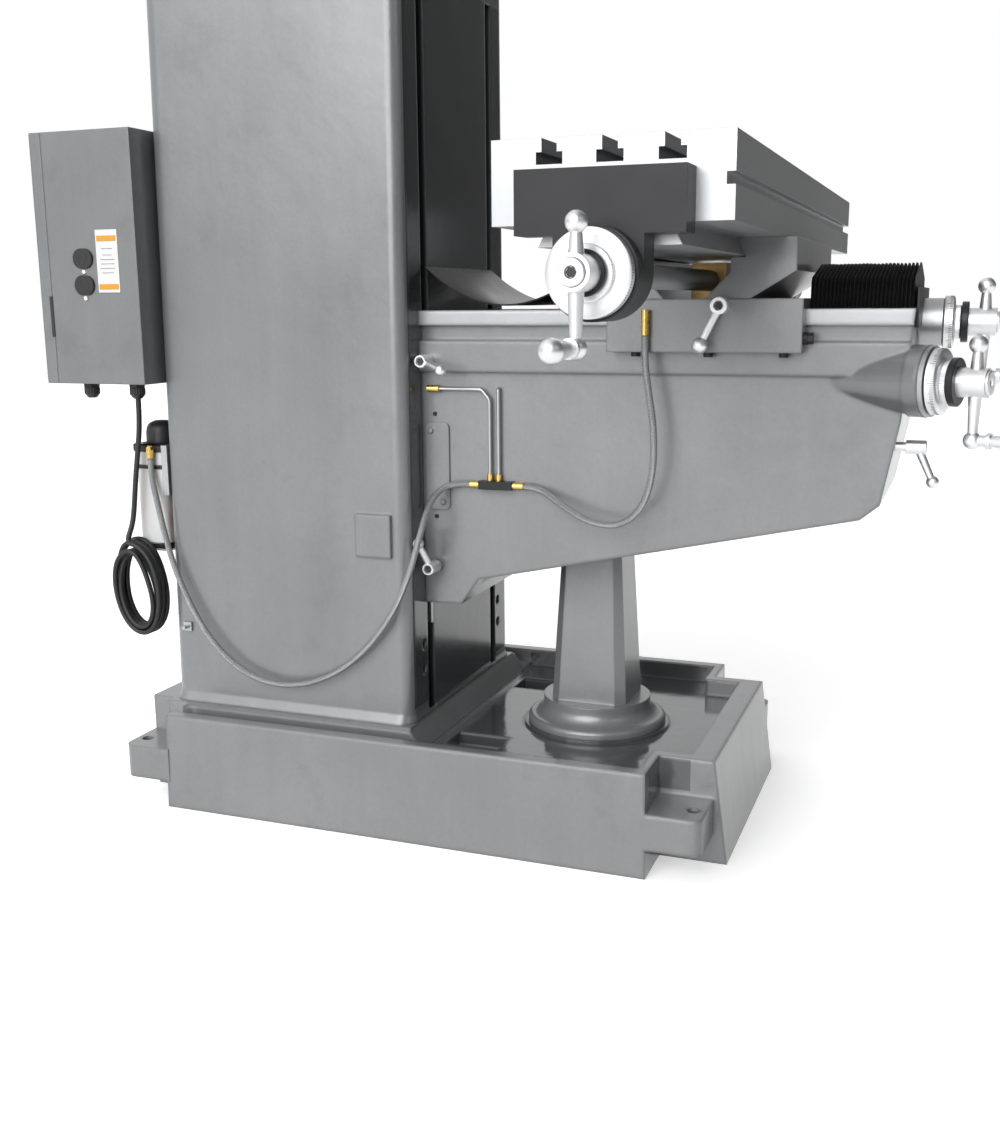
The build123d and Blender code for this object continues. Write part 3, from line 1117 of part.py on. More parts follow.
with BuildPart() as quill:
    with BuildSketch(Plane.XY.offset(NOSE_Z + 14)):
        with Locations((0, SPINDLE_Y)):
            Circle(QUILL_RADIUS)
            Circle(SPINDLE_RADIUS + SHAFT_GAP, mode=Mode.SUBTRACT)
    extrude(amount=300)
save(quill.part, "quill")

with BuildPart() as spindle:
    with BuildSketch(Plane.XY.offset(NOSE_Z)):
        with Locations((0, SPINDLE_Y)):
            Circle(32)
    extrude(amount=14 - FREE_GAP)
    rod((0, SPINDLE_Y, NOSE_Z + 10), (0, SPINDLE_Y, NOSE_Z + 320), SPINDLE_RADIUS)
    rod((0, SPINDLE_Y, NOSE_Z + 319), (0, SPINDLE_Y, BELT_TOP_Z + 30), 14)
    with Locations((0, SPINDLE_Y, NOSE_Z + 100)):
        Hole(SPINDLE_BORE_RADIUS, depth=101)
save(spindle.part, "spindle")

with BuildPart() as feed_lever:
    rod((40, feed_y, 1470), (77, feed_y, 1470), 9)
    rod((76.5, feed_y, 1470), (114, feed_y, 1470), 24)
    lever_ball = (132, feed_y - 150, 1540)
    taper_rod((104, feed_y, 1470), lever_ball, 8, 6)
    with Locations(lever_ball):
        Sphere(16)
save(feed_lever.part, "feed_lever")

with BuildPart() as fine_feed_wheel:
    wheel_face = head_front - 30
    rod((-46, head_front + 22, 1400), (-46, wheel_face, 1400), 7)
    rod((-46, head_front - 10, 1400), (-46, wheel_face, 1400), 14)
    with BuildSketch(Plane(origin=(-46, wheel_face + 10, 1400), z_dir=(0, -1, 0))) as wheel:
        Circle(44)
        with PolarLocations(24, 3):
            Circle(9, mode=Mode.SUBTRACT)
    extrude(wheel.sketch, amount=10)
save(fine_feed_wheel.part, "fine_feed_wheel")
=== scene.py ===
"""Vertical knee milling machine: camera, materials, hoses and lead, detailed pieces, studio."""
import json
import math

import bmesh
import bpy
from mathutils import Matrix, Vector, noise


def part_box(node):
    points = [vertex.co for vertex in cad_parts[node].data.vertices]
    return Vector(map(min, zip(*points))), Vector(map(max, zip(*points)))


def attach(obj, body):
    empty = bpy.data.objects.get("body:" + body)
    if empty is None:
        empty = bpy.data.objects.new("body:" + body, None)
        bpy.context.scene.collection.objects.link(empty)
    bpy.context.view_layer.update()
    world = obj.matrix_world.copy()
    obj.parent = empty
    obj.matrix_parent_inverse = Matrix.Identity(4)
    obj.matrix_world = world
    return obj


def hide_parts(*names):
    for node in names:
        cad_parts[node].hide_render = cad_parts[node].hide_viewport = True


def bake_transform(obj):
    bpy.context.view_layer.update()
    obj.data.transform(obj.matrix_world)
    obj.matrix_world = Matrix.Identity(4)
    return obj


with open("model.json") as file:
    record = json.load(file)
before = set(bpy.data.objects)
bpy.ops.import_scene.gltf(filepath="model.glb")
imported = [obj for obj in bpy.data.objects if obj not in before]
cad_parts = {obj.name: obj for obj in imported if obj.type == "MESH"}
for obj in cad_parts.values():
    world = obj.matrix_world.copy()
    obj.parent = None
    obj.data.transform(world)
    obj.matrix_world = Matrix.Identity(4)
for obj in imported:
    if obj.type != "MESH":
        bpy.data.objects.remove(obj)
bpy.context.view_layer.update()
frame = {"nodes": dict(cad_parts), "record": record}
scene = bpy.context.scene
X, Y, Z = Vector((1, 0, 0)), Vector((0, 1, 0)), Vector((0, 0, 1))

# ---------------------------------------------------------------- camera
CAMERA_AT = Vector((-1.8143, -0.7493, 0.7562))
YAW, PITCH, ROLL = (math.radians(a) for a in (20.73, 12.125, 0.43))
FOCAL_MM = 39.82

forward = Vector((math.cos(YAW) * math.cos(PITCH), math.sin(YAW) * math.cos(PITCH), -math.sin(PITCH)))
level_right = Vector((math.sin(YAW), -math.cos(YAW), 0))
down = forward.cross(level_right)
right = math.cos(ROLL) * level_right + math.sin(ROLL) * down
up = -forward.cross(right)
camera = bpy.data.objects.new("camera", bpy.data.cameras.new("camera"))
scene.collection.objects.link(camera)
camera.matrix_world = Matrix.Translation(CAMERA_AT) @ Matrix((right, up, -forward)).transposed().to_4x4()
camera.data.lens = FOCAL_MM
camera.data.sensor_width = 36
camera.data.clip_start = 0.02
scene.camera = camera


# ---------------------------------------------------------------- material kit
class Nodes:
    """A short way to write a node material."""

    def __init__(self, name):
        self.material = bpy.data.materials.new(name)
        self.material.use_nodes = True
        self.tree = self.material.node_tree
        self.shader = self.tree.nodes["Principled BSDF"]
        self.place = self.add("ShaderNodeTexCoord").outputs["Object"]

    def add(self, kind, inputs=None, **settings):
        node = self.tree.nodes.new(kind)
        for key, value in settings.items():
            setattr(node, key, value)
        for key, value in (inputs or {}).items():
            self.put(node.inputs[key], value)
        return node

    def put(self, socket, value):
        if isinstance(value, bpy.types.NodeSocket):
            self.tree.links.new(value, socket)
        else:
            socket.default_value = value

    def stretched(self, scale, turn=(0, 0, 0)):
        node = self.add("ShaderNodeMapping", {"Vector": self.place, "Scale": scale, "Rotation": turn})
        return node.outputs["Vector"]

    def noise(self, scale, detail=4.0, roughness=0.55, place=None):
        inputs = {"Vector": place or self.place, "Scale": scale, "Detail": detail, "Roughness": roughness}
        return self.add("ShaderNodeTexNoise", inputs).outputs["Fac"]

    def mix(self, factor, a, b):
        node = self.add("ShaderNodeMix", data_type="RGBA")
        self.put(node.inputs["Factor"], factor)
        for socket, value in ((node.inputs[6], a), (node.inputs[7], b)):
            self.put(socket, value if isinstance(value, bpy.types.NodeSocket) else (*value, 1))
        return node.outputs[2]

    def math(self, operation, a, b):
        node = self.add("ShaderNodeMath", operation=operation)
        self.put(node.inputs[0], a)
        self.put(node.inputs[1], b)
        return node.outputs[0]

    def span(self, value, low, high):
        inputs = {"Value": value, "To Min": low, "To Max": high}
        return self.add("ShaderNodeMapRange", inputs).outputs["Result"]

    def bump(self, height, strength, distance, normal=None):
        inputs = {"Height": height, "Strength": strength, "Distance": distance}
        if normal:
            inputs["Normal"] = normal
        return self.add("ShaderNodeBump", inputs).outputs["Normal"]

    def soft_edge(self, radius):
        return self.add("ShaderNodeBevel", {"Radius": radius}, samples=4).outputs["Normal"]

    def finish(self, **values):
        for key, value in values.items():
            name = key.replace("_", " ")
            self.put(self.shader.inputs[name], value)
        return self.material


def worn(kit, base, wear, amount, scale):
    """Colour that varies in soft clouds, with fine specks."""
    cloud = kit.noise(scale, 3.0)
    speck = kit.noise(scale * 60, 2.0)
    tinted = kit.mix(kit.span(cloud, 0.0, amount), base, wear)
    return kit.mix(kit.span(speck, 0.0, amount * 0.25), tinted, tuple(c * 0.6 for c in base))


def paint(name, base, gloss, edge=0.0035, zones=()):
    """Thick machine enamel, cloudy and stained; zones are (mask, colour, roughness) over it."""
    kit = Nodes(name)
    lighter = tuple(min(1, c * 1.65) for c in base)
    colour = worn(kit, base, lighter, 0.95, 3.4)
    drips = kit.noise(1.0, 5.0, 0.6, kit.stretched((26, 26, 1.6)))
    colour = kit.mix(kit.span(drips, 0.0, 0.26), colour, tuple(c * 0.5 for c in base))
    grime = kit.noise(11.0, 6.0, 0.7)
    stained = kit.add("ShaderNodeMapRange", {"Value": grime, "From Min": 0.56, "From Max": 0.74, "To Max": 0.3})
    colour = kit.mix(stained.outputs["Result"], colour, tuple(c * 0.62 for c in base))
    ripple = kit.bump(kit.noise(24.0, 3.0), 0.22, 0.003, kit.soft_edge(edge))
    normal = kit.bump(kit.noise(520.0, 2.0), 0.05, 0.0004, ripple)
    rough = kit.span(kit.noise(7.0, 5.0), gloss - 0.05, gloss + 0.09)
    for mask, zone_colour, zone_rough in zones:
        inside = mask(kit)
        shade = worn(kit, zone_colour, tuple(c * 1.5 for c in zone_colour), 0.8, 7.0)
        colour = kit.mix(inside, colour, shade)
        rough = kit.add("ShaderNodeMix", {0: inside, 2: rough, 3: zone_rough}, data_type="FLOAT").outputs[0]
    return kit.finish(
        Base_Color=colour, Roughness=rough, Normal=normal, Metallic=0.30, Coat_Weight=0.45, Coat_Roughness=0.12
    )


def within(kit, limits):
    """1 inside a box of (axis, low, high) limits, 0 outside."""
    parts = kit.add("ShaderNodeSeparateXYZ", {"Vector": kit.place}).outputs
    inside = 1.0
    for axis, low, high in limits:
        inside = kit.math("MULTIPLY", inside, kit.math("GREATER_THAN", parts[axis], low))
        inside = kit.math("MULTIPLY", inside, kit.math("LESS_THAN", parts[axis], high))
    return inside


def tray_zone(kit):
    return within(kit, (("X", -0.257, 0.257), ("Y", -0.412, -0.024), ("Z", 0.100, 0.1445)))


def ways_zone(kit):
    return within(kit, (("X", -0.1415, 0.1415), ("Y", -0.001, 0.034), ("Z", 0.151, 1.2005)))


def column_face_zone(kit):
    return within(kit, (("X", -0.190, 0.190), ("Y", -0.001, 0.0008), ("Z", 0.170, 1.2005)))


def knee_ways_zone(kit):
    return within(kit, (("X", -0.153, 0.153), ("Y", -0.667, 0.001), ("Z", 0.7228, 0.745)))


def metal(name, base, gloss, lines=(1, 1, 1), depth=0.12, edge=0.0007, metallic=1.0, spots=0.25):
    """Metal with tool marks drawn out along one direction."""
    kit = Nodes(name)
    marks = kit.noise(90.0, 6.0, 0.7, kit.stretched(lines))
    colour = worn(kit, base, tuple(c * 0.72 for c in base), spots, 9.0)
    colour = kit.mix(kit.span(marks, 0.0, 0.22), colour, tuple(c * 0.6 for c in base))
    normal = kit.bump(marks, depth, 0.0006, kit.soft_edge(edge))
    rough = kit.span(marks, gloss - 0.06, gloss + 0.10)
    return kit.finish(Base_Color=colour, Roughness=rough, Normal=normal, Metallic=metallic)


def plastic(name, base, gloss, grain=700.0, depth=0.12, **extra):
    kit = Nodes(name)
    colour = worn(kit, base, tuple(min(1, c * 1.5 + 0.004) for c in base), 0.4, 14.0)
    normal = kit.bump(kit.noise(grain, 2.0), depth, 0.0005, kit.soft_edge(0.0006))
    rough = kit.span(kit.noise(22.0, 4.0), gloss - 0.05, gloss + 0.10)
    return kit.finish(Base_Color=colour, Roughness=rough, Normal=normal, **extra)


def braid(name):
    """Fine crossed wires round a hose, from coordinates wound round it."""
    kit = Nodes(name)
    wound = kit.add("ShaderNodeUVMap").outputs["UV"]
    waves = []
    for turn in (0.785, -0.785):
        turned = kit.add("ShaderNodeMapping", {"Vector": wound, "Rotation": (0, 0, turn)}).outputs["Vector"]
        wave = kit.add("ShaderNodeTexWave", {"Vector": turned, "Scale": 5.0}, wave_type="BANDS")
        waves.append(wave.outputs["Fac"])
    weave = kit.math("MAXIMUM", *waves)
    colour = kit.mix(weave, (0.10, 0.10, 0.105), (0.50, 0.505, 0.51))
    shade = kit.mix(kit.span(kit.noise(30.0), 0.0, 0.4), colour, (0.30, 0.30, 0.305))
    rough = kit.span(weave, 0.45, 0.26)
    return kit.finish(
        Base_Color=shade, Roughness=rough, Normal=kit.bump(weave, 0.55, 0.0006), Metallic=0.95
    )


LOOKS = {
    "machine_paint": paint("grey_paint", (0.20, 0.207, 0.212), 0.34),
    "light_alloy": metal("light_alloy", (0.46, 0.47, 0.48), 0.44, (1, 1, 6)),
    "machined_steel": metal("machined_steel", (0.46, 0.47, 0.48), 0.38, (0.6, 12, 12)),
    "cast": metal("scraped_iron", (0.42, 0.43, 0.44), 0.34, (0.5, 9, 9), 0.18),
    "satin_chrome": metal("satin_chrome", (0.80, 0.81, 0.82), 0.40, (4, 4, 1), 0.06, spots=0.12),
    "black_rubber": plastic("black_rubber", (0.012, 0.012, 0.013), 0.48),
    "black_steel": plastic("black_oxide", (0.018, 0.018, 0.02), 0.38, 300.0, 0.08, Metallic=0.5),
    "brass": metal("brass", (0.80, 0.56, 0.17), 0.26, (3, 3, 3), 0.08, spots=0.2),
    "bronze": metal("bronze", (0.52, 0.34, 0.14), 0.38, (2, 2, 2)),
    "braid": braid("braided_steel"),
    "black_plastic": plastic("black_plastic", (0.012, 0.012, 0.012), 0.42),
    "translucent": plastic(
        "milky_tank", (0.80, 0.81, 0.80), 0.36, 200.0, 0.05, Subsurface_Weight=0.25, Transmission_Weight=0.12
    ),
    "label": plastic("label_white", (0.86, 0.86, 0.85), 0.32, 900.0, 0.02),
}
GLOSSY_SHEET = plastic("glossy_rubber", (0.006, 0.006, 0.007), 0.24, 26.0, 0.45, Specular_IOR_Level=0.22)
PRINT_ORANGE = plastic("print_orange", (0.80, 0.36, 0.03), 0.35, 900.0, 0.02)
PRINT_GREY = plastic("print_grey", (0.32, 0.33, 0.35), 0.4, 900.0, 0.02)
# black for the dial graduations, and painted shade in the hub sockets, outlet openings and door latch recess
BLACK_PRINT_AND_HOLE_SHADE = plastic("black_print_and_hole_shade", (0.02, 0.02, 0.022), 0.5)

GREY = (0.205, 0.212, 0.217)
# near-black for the column's oiled front face and ways: painted shade of these front-facing faces, far darker
# than the bare iron of the knee's upward ways
OILED_IRON_PAINTED_SHADE = (0.085, 0.09, 0.093)
BARE_IRON = (0.40, 0.41, 0.42)
NODE_LOOKS = {
    "base_casting": paint("base_paint", GREY, 0.30, 0.009, [(tray_zone, (0.085, 0.09, 0.095), 0.10)]),
    # the column's front face and ways carry painted shade in their near-black colour; their low roughness
    # stands for the oil film
    "column": paint("column_paint", GREY, 0.32, 0.006, [
        (column_face_zone, OILED_IRON_PAINTED_SHADE, 0.20), (ways_zone, OILED_IRON_PAINTED_SHADE, 0.24),
    ]),
    "knee_casting": paint("knee_paint", GREY, 0.30, 0.007, [(knee_ways_zone, BARE_IRON, 0.30)]),
}

slot_of = {part["node"]: part["material_slot"] for part in frame["record"]["subparts"]}
for node_name, obj in frame["nodes"].items():
    obj.data.materials.clear()
    obj.data.materials.append(NODE_LOOKS.get(node_name) or LOOKS[slot_of[node_name]])


# ---------------------------------------------------------------- mesh kit
def new_object(name, mesh, material, smooth=True):
    for face in mesh.polygons:
        face.use_smooth = smooth
    mesh.materials.append(material)
    obj = bpy.data.objects.new(name, mesh)
    scene.collection.objects.link(obj)
    return obj


def mesh_of(bm, name):
    bmesh.ops.recalc_face_normals(bm, faces=bm.faces)
    mesh = bpy.data.meshes.new(name)
    bm.to_mesh(mesh)
    bm.free()
    return mesh


def basis(axis):
    """Two directions square to an axis."""
    side = axis.cross(Z) if abs(axis.z) < 0.9 else axis.cross(X)
    side.normalize()
    return side, axis.cross(side).normalized()


def skin(bm, rings, closed=True):
    for low, high in zip(rings, rings[1:]):
        count = len(low)
        for i in range(count if closed else count - 1):
            j = (i + 1) % count
            bm.faces.new((low[i], low[j], high[j], high[i]))


def lathe(bm, origin, axis, profile, sides=48, shape=None):
    """Turned solid from (distance, radius) pairs; shape(angle) scales the radius."""
    axis = axis.normalized()
    u, v = basis(axis)
    rings = []
    for along, radius in profile:
        ring = []
        for i in range(sides):
            angle = 2 * math.pi * i / sides
            reach = radius * (shape(angle, along) if shape else 1)
            offset = u * math.cos(angle) * reach + v * math.sin(angle) * reach
            ring.append(bm.verts.new(origin + axis * along + offset))
        rings.append(ring)
    skin(bm, rings)
    bm.faces.new(rings[0][::-1])
    bm.faces.new(rings[-1])


def slab(bm, centre, size, axes=(X, Y, Z), bevel=0.0):
    """A box with softened edges, along three directions."""
    corners = {}
    for i in (-1, 1):
        for j in (-1, 1):
            for k in (-1, 1):
                offset = axes[0] * i * size[0] / 2 + axes[1] * j * size[1] / 2 + axes[2] * k * size[2] / 2
                corners[i, j, k] = bm.verts.new(centre + offset)
    faces = []
    for axis in range(3):
        for side in (-1, 1):
            loop = []
            for a, b in ((-1, -1), (1, -1), (1, 1), (-1, 1)):
                key = [a, b]
                key.insert(axis, side)
                loop.append(corners[tuple(key)])
            faces.append(bm.faces.new(loop))
    if bevel:
        edges = list({edge for face in faces for edge in face.edges})
        bmesh.ops.bevel(bm, geom=edges, offset=bevel, segments=2, affect="EDGES", profile=0.6)


def auto_smooth(obj, degrees=35):
    obj.data.set_sharp_from_angle(angle=math.radians(degrees))


def spline_points(points, closeness=12):
    """The smooth line of a route, read from its spline."""
    curve = bpy.data.curves.new("route", "CURVE")
    curve.dimensions = "3D"
    spline = curve.splines.new("NURBS")
    spline.points.add(len(points) - 1)
    for control, place in zip(spline.points, points):
        control.co = (*place, 1)
    spline.order_u = 3
    spline.use_endpoint_u = True
    spline.resolution_u = closeness
    guide = bpy.data.objects.new("route", curve)
    scene.collection.objects.link(guide)
    bpy.context.view_layer.update()
    line = bpy.data.meshes.new_from_object(guide)
    path = [vertex.co.copy() for vertex in line.vertices]
    bpy.data.objects.remove(guide)
    bpy.data.curves.remove(curve)
    bpy.data.meshes.remove(line)
    return path


def tube(name, path, radius, material, sides=20):
    """A tube along a path, with coordinates that wind round it."""
    bm = bmesh.new()
    layer = bm.loops.layers.uv.new("UVMap")
    tangent = (path[1] - path[0]).normalized()
    u, v = basis(tangent)
    rings, travelled, lengths = [], 0.0, []
    for i, point in enumerate(path):
        ahead = path[min(i + 1, len(path) - 1)] - path[max(i - 1, 0)]
        turn = tangent.rotation_difference(ahead.normalized())
        tangent = ahead.normalized()
        u, v = turn @ u, turn @ v
        if i:
            travelled += (point - path[i - 1]).length
        lengths.append(travelled)
        angles = [2 * math.pi * k / sides for k in range(sides)]
        rings.append([bm.verts.new(point + (u * math.cos(a) + v * math.sin(a)) * radius) for a in angles])
    for i in range(len(rings) - 1):
        for k in range(sides):
            j = (k + 1) % sides
            face = bm.faces.new((rings[i][k], rings[i][j], rings[i + 1][j], rings[i + 1][k]))
            strands = ((k, i), (k + 1, i), (k + 1, i + 1), (k, i + 1))
            for loop, (around, along) in zip(face.loops, strands):
                loop[layer].uv = (around / sides * 4, lengths[along] / (2 * math.pi * radius) * 4)
    bm.faces.new(rings[0][::-1])
    bm.faces.new(rings[-1])
    mesh = bpy.data.meshes.new(name)
    bm.to_mesh(mesh)
    bm.free()
    return new_object(name, mesh, material)


def metres(points):
    return [Vector(p) / 1000 for p in points]


# ---------------------------------------------------------------- hoses and cord
LINE_X = -151
GLAND_X = -200
SADDLE_HOSE = metres([
    (LINE_X, -156, 502), (LINE_X, -178, 502), (-168, -214, 484), (-180, -252, 465), (-186, -290, 458),
    (-190, -320, 468), (-192, -341, 494), (-193, -352, 536), (-193, -352, 590), (-192, -343, 642),
    (-191, -337, 682), (-191, -337, 712),
])
PUMP_HOSE = metres([
    (LINE_X, -76, 502), (LINE_X, -56, 502), (-160, -38, 497), (-176, -28, 484), (-194, -24, 462),
    (-210, -20, 428), (-219, -6, 372), (-221, 22, 314), (-222, 64, 261), (-221, 120, 217),
    (-220, 186, 195), (-220, 248, 199), (-219, 298, 226), (-219, 337, 268), (-218, 366, 318),
    (-217, 389, 372), (-214, 404, 424), (-206, 418, 464), (-196, 432, 496), (-196, 432, 526),
])
POWER_CORD = metres([
    (GLAND_X, 444, 616), (GLAND_X, 444, 582), (-201, 450, 538), (-205, 455, 494), (-206, 460, 450),
    (-209, 463, 424),
])
HOSE_RADIUS = 0.0045
CORD_RADIUS = 0.004

hose_path = spline_points(SADDLE_HOSE)
hose = tube("braided_hose_to_saddle", hose_path, HOSE_RADIUS, LOOKS["braid"])
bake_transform(hose)
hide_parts("hose_saddle")

hose_path = spline_points(PUMP_HOSE)
hose = tube("braided_hose_to_pump", hose_path, HOSE_RADIUS, LOOKS["braid"])
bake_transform(hose)
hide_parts("hose_pump")

# the mains lead hangs from its gland and is wound into one coil behind the column
COIL_CENTRE = Vector((-0.2095, 0.457, 0.327))
COIL_TILT = math.radians(8)
COIL_OUTER = Vector((0.0425, 0.0735))
LAYER_STEP = 0.0086
COLUMN_STEP = 0.0086
TIE_ANGLE = math.radians(-65)
TURN_POINTS = 14
COIL_ORDER = ((0, -1), (1, -1), (1, 0), (0, 0), (0, 1), (1, 1))
coil_points = []
for index, (layer, column) in enumerate(COIL_ORDER):
    next_layer, next_column = COIL_ORDER[min(index + 1, len(COIL_ORDER) - 1)]
    for step in range(TURN_POINTS):
        share = step / TURN_POINTS
        ease = max(0.0, (share - 0.6) / 0.4)
        angle = math.pi / 2 + 2 * math.pi * share
        # the turns are bunched where they are tied and fan out on the far side
        fan = (1 - math.cos(angle - TIE_ANGLE)) / 2
        inward = (layer + (next_layer - layer) * ease) * LAYER_STEP * (1 + 0.9 * fan)
        across = (column + (next_column - column) * ease) * COLUMN_STEP * (1 + 0.45 * fan)
        loose = 0.0022 * fan * math.sin(2.1 * index + 3 * angle)
        y = (COIL_OUTER.x - inward + loose) * math.cos(angle)
        z = (COIL_OUTER.y - inward + loose) * math.sin(angle)
        coil_points.append(COIL_CENTRE + Vector((
            across,
            y * math.cos(COIL_TILT) + z * math.sin(COIL_TILT),
            z * math.cos(COIL_TILT) - y * math.sin(COIL_TILT),
        )))
lead = bpy.data.curves.new("mains_lead", "CURVE")
lead.dimensions = "3D"
lead_line = lead.splines.new("NURBS")
lead_route = POWER_CORD + coil_points
lead_line.points.add(len(lead_route) - 1)
for control, place in zip(lead_line.points, lead_route):
    control.co = (*place, 1)
lead_line.order_u = 3
lead_line.use_endpoint_u = True
lead.resolution_u = 8
lead.bevel_depth = CORD_RADIUS
lead.bevel_resolution = 4
lead.use_fill_caps = True
lead.materials.append(LOOKS["black_rubber"])
lead_object = bpy.data.objects.new("mains_lead", lead)
scene.collection.objects.link(lead_object)
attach(lead_object, "base")
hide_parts("power_cord", "power_cord_coil")


def add_piece(name, bm, material, body, node=None, smooth=True, degrees=35):
    obj = new_object(name, mesh_of(bm, name), material, smooth)
    if smooth:
        auto_smooth(obj, degrees)
    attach(obj, body)
    if node:
        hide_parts(node)
    return obj


# ---------------------------------------------------------------- way covers
PLEATS = 26
PLEAT_DEPTH = 0.011
low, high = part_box("front_bellows")
shoulder = low.z + 0.52 * (high.z - low.z)
outline = [
    (low.x, low.z), (low.x, shoulder), (low.x + 0.004, shoulder + 0.008), (low.x + 0.100, high.z),
    (high.x - 0.100, high.z), (high.x - 0.004, shoulder + 0.008), (high.x, shoulder), (high.x, low.z),
]
middle_x = (low.x + high.x) / 2
bm = bmesh.new()
rings = []
for step in range(4 * PLEATS + 1):
    wave = abs((step % 4) - 2) / 2
    inset = PLEAT_DEPTH * (1 - wave)
    y = low.y + (high.y - low.y) * step / (4 * PLEATS)
    wander = 0.0012 * noise.noise(Vector((0, y * 60, 3)))
    ring = []
    for x, z in outline:
        side = math.copysign(1, x - middle_x)
        near_top = z > low.z + 0.01
        ring.append(bm.verts.new((x - side * (inset + wander), y, z - (inset + wander if near_top else 0))))
    rings.append(ring)
skin(bm, rings)
bm.faces.new(rings[0][::-1])
bm.faces.new(rings[-1])
bellows = new_object("bellows_folds", mesh_of(bm, "bellows_folds"), LOOKS["black_rubber"], False)
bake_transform(bellows)
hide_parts("front_bellows")

low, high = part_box("rear_way_sheet")
ACROSS, ALONG, SHEET = 24, 30, 0.0022
bm = bmesh.new()
layers = []
for lift in (0.0, -SHEET):
    rows = []
    for i in range(ALONG + 1):
        share = i / ALONG
        y = low.y + (high.y - low.y) * share
        sag = 4 * share * (1 - share) * (high.z - low.z - 0.004)
        row = []
        for j in range(ACROSS + 1):
            x = low.x + (high.x - low.x) * j / ACROSS
            ripple = 0.0016 * noise.noise(Vector((x * 9, y * 14, 1))) * 4 * share * (1 - share)
            row.append(bm.verts.new((x, y, high.z - 0.001 - sag + ripple + lift)))
        rows.append(row)
    skin(bm, rows, closed=False)
    layers.append(rows)
upper, under = layers


def border(rows):
    """The points round the edge of a grid, in order."""
    return rows[0] + [row[-1] for row in rows[1:]] + rows[-1][-2::-1] + [row[0] for row in rows[-2:0:-1]]


skin(bm, [border(upper), border(under)])
sheet = new_object("way_sheet", mesh_of(bm, "way_sheet"), GLOSSY_SHEET)
auto_smooth(sheet, 50)
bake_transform(sheet)
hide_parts("rear_way_sheet")


# ---------------------------------------------------------------- dials and crank ends
def engraved_dial(name, face, outward, radius, bore, body, node, fine=100):
    """A satin dial with graduations cut round its rim and a knurled clamp ring."""
    bm = bmesh.new()
    thick = 0.014
    ring_out = radius * 0.62
    lathe(bm, face, outward, [
        (0.0004, bore), (0.0004, radius - 0.003), (0.0016, radius - 0.0008), (0.003, radius - 0.0012),
        (thick - 0.002, radius - 0.0012), (thick - 0.0008, radius - 0.003), (thick, radius - 0.008),
        (thick, bore),
    ], 96)
    lathe(bm, face, outward, [
        (thick, bore), (thick, ring_out - 0.001), (thick + 0.001, ring_out), (thick + 0.0068, ring_out),
        (thick + 0.0078, ring_out - 0.001), (thick + 0.0078, bore),
    ], 120, lambda angle, along: 1 + 0.012 * math.cos(60 * angle))
    add_piece(name, bm, LOOKS["satin_chrome"], body, node)
    marks = bmesh.new()
    u, v = basis(outward)
    for i in range(fine):
        angle = 2 * math.pi * i / fine
        radial = u * math.cos(angle) + v * math.sin(angle)
        around = outward.cross(radial)
        long = 0.0075 if i % 10 == 0 else 0.0058 if i % 5 == 0 else 0.0042
        centre = face + outward * (thick - 0.002 - long / 2) + radial * (radius - 0.0012)
        slab(marks, centre, (0.0004, long, 0.0005), (radial, outward, around))
    add_piece(name + "_marks", marks, BLACK_PRINT_AND_HOLE_SHADE, body, smooth=False)


def hub_end(name, tip, outward, body, radius=0.0135):
    """Bright cap at the end of a crank's hub, with a flat black hexagon in its recess as painted shade of the
    socket hole.
    """
    bm = bmesh.new()
    lathe(bm, tip, outward, [
        (0, radius), (0.0024, radius), (0.0034, radius - 0.0012), (0.0034, 0.0062), (0.0012, 0.0055),
        (0.0006, 0.0050),
    ], 48)
    add_piece(name, bm, LOOKS["satin_chrome"], body)
    # the socket hole is a flat black hexagon: painted shade in the recess
    socket = bmesh.new()
    lathe(socket, tip + outward * 0.0008, outward, [(0, 0.0052), (0.0006, 0.0052)], 6)
    add_piece(name + "_socket_hole_shade", socket, BLACK_PRINT_AND_HOLE_SHADE, body, smooth=False)


def seat_ring(name, origin, outward, inner, outer, body, width):
    bm = bmesh.new()
    lathe(bm, origin, outward, [
        (0, inner), (0, outer - 0.001), (0.001, outer), (width - 0.001, outer), (width, outer - 0.001),
        (width, inner),
    ], 64)
    add_piece(name, bm, LOOKS["black_steel"], body)


low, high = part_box("x_dials")
X_SCREW = Vector((0, -0.385, 0.782))
hub_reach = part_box("x_screw")[1].x
for side, mark in ((-1, "left"), (1, "right")):
    face = Vector((side * (high.x - 0.022), X_SCREW.y, X_SCREW.z))
    node = "x_dials" if side < 0 else None
    engraved_dial(f"x_dial_{mark}", face, X * side, 0.045, 0.01405, "x_feed", node)
    tip = Vector((side * (hub_reach + 0.0041), X_SCREW.y, X_SCREW.z))
    hub_end(f"x_hub_end_{mark}", tip, X * side, "x_feed")
low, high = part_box("y_dial")
y_face = Vector((0, high.y, 0.725))
engraved_dial("y_dial_engraved", y_face, -Y, 0.035, 0.01405, "y_feed", "y_dial", 80)
# the knee's crank shaft runs out from the elevating screw to the boss on the left
SHAFT_START = Vector((0, -0.222, 0.655))
DIAL_SEAT = 0.0064
shaft = Vector((-0.138, -0.464, 0)).normalized()
SHAFT_FACE = 0.48409 + DIAL_SEAT
z_face = SHAFT_START + shaft * SHAFT_FACE
engraved_dial("z_dial_engraved", z_face, shaft, 0.042, 0.01105, "z_feed", "z_dial")
HUB_REACH = 0.0662
hub_end("z_hub_end", z_face + shaft * HUB_REACH, shaft, "z_feed", 0.0155)
hub_end("y_hub_end", y_face - Y * HUB_REACH, -Y, "y_feed", 0.0135)

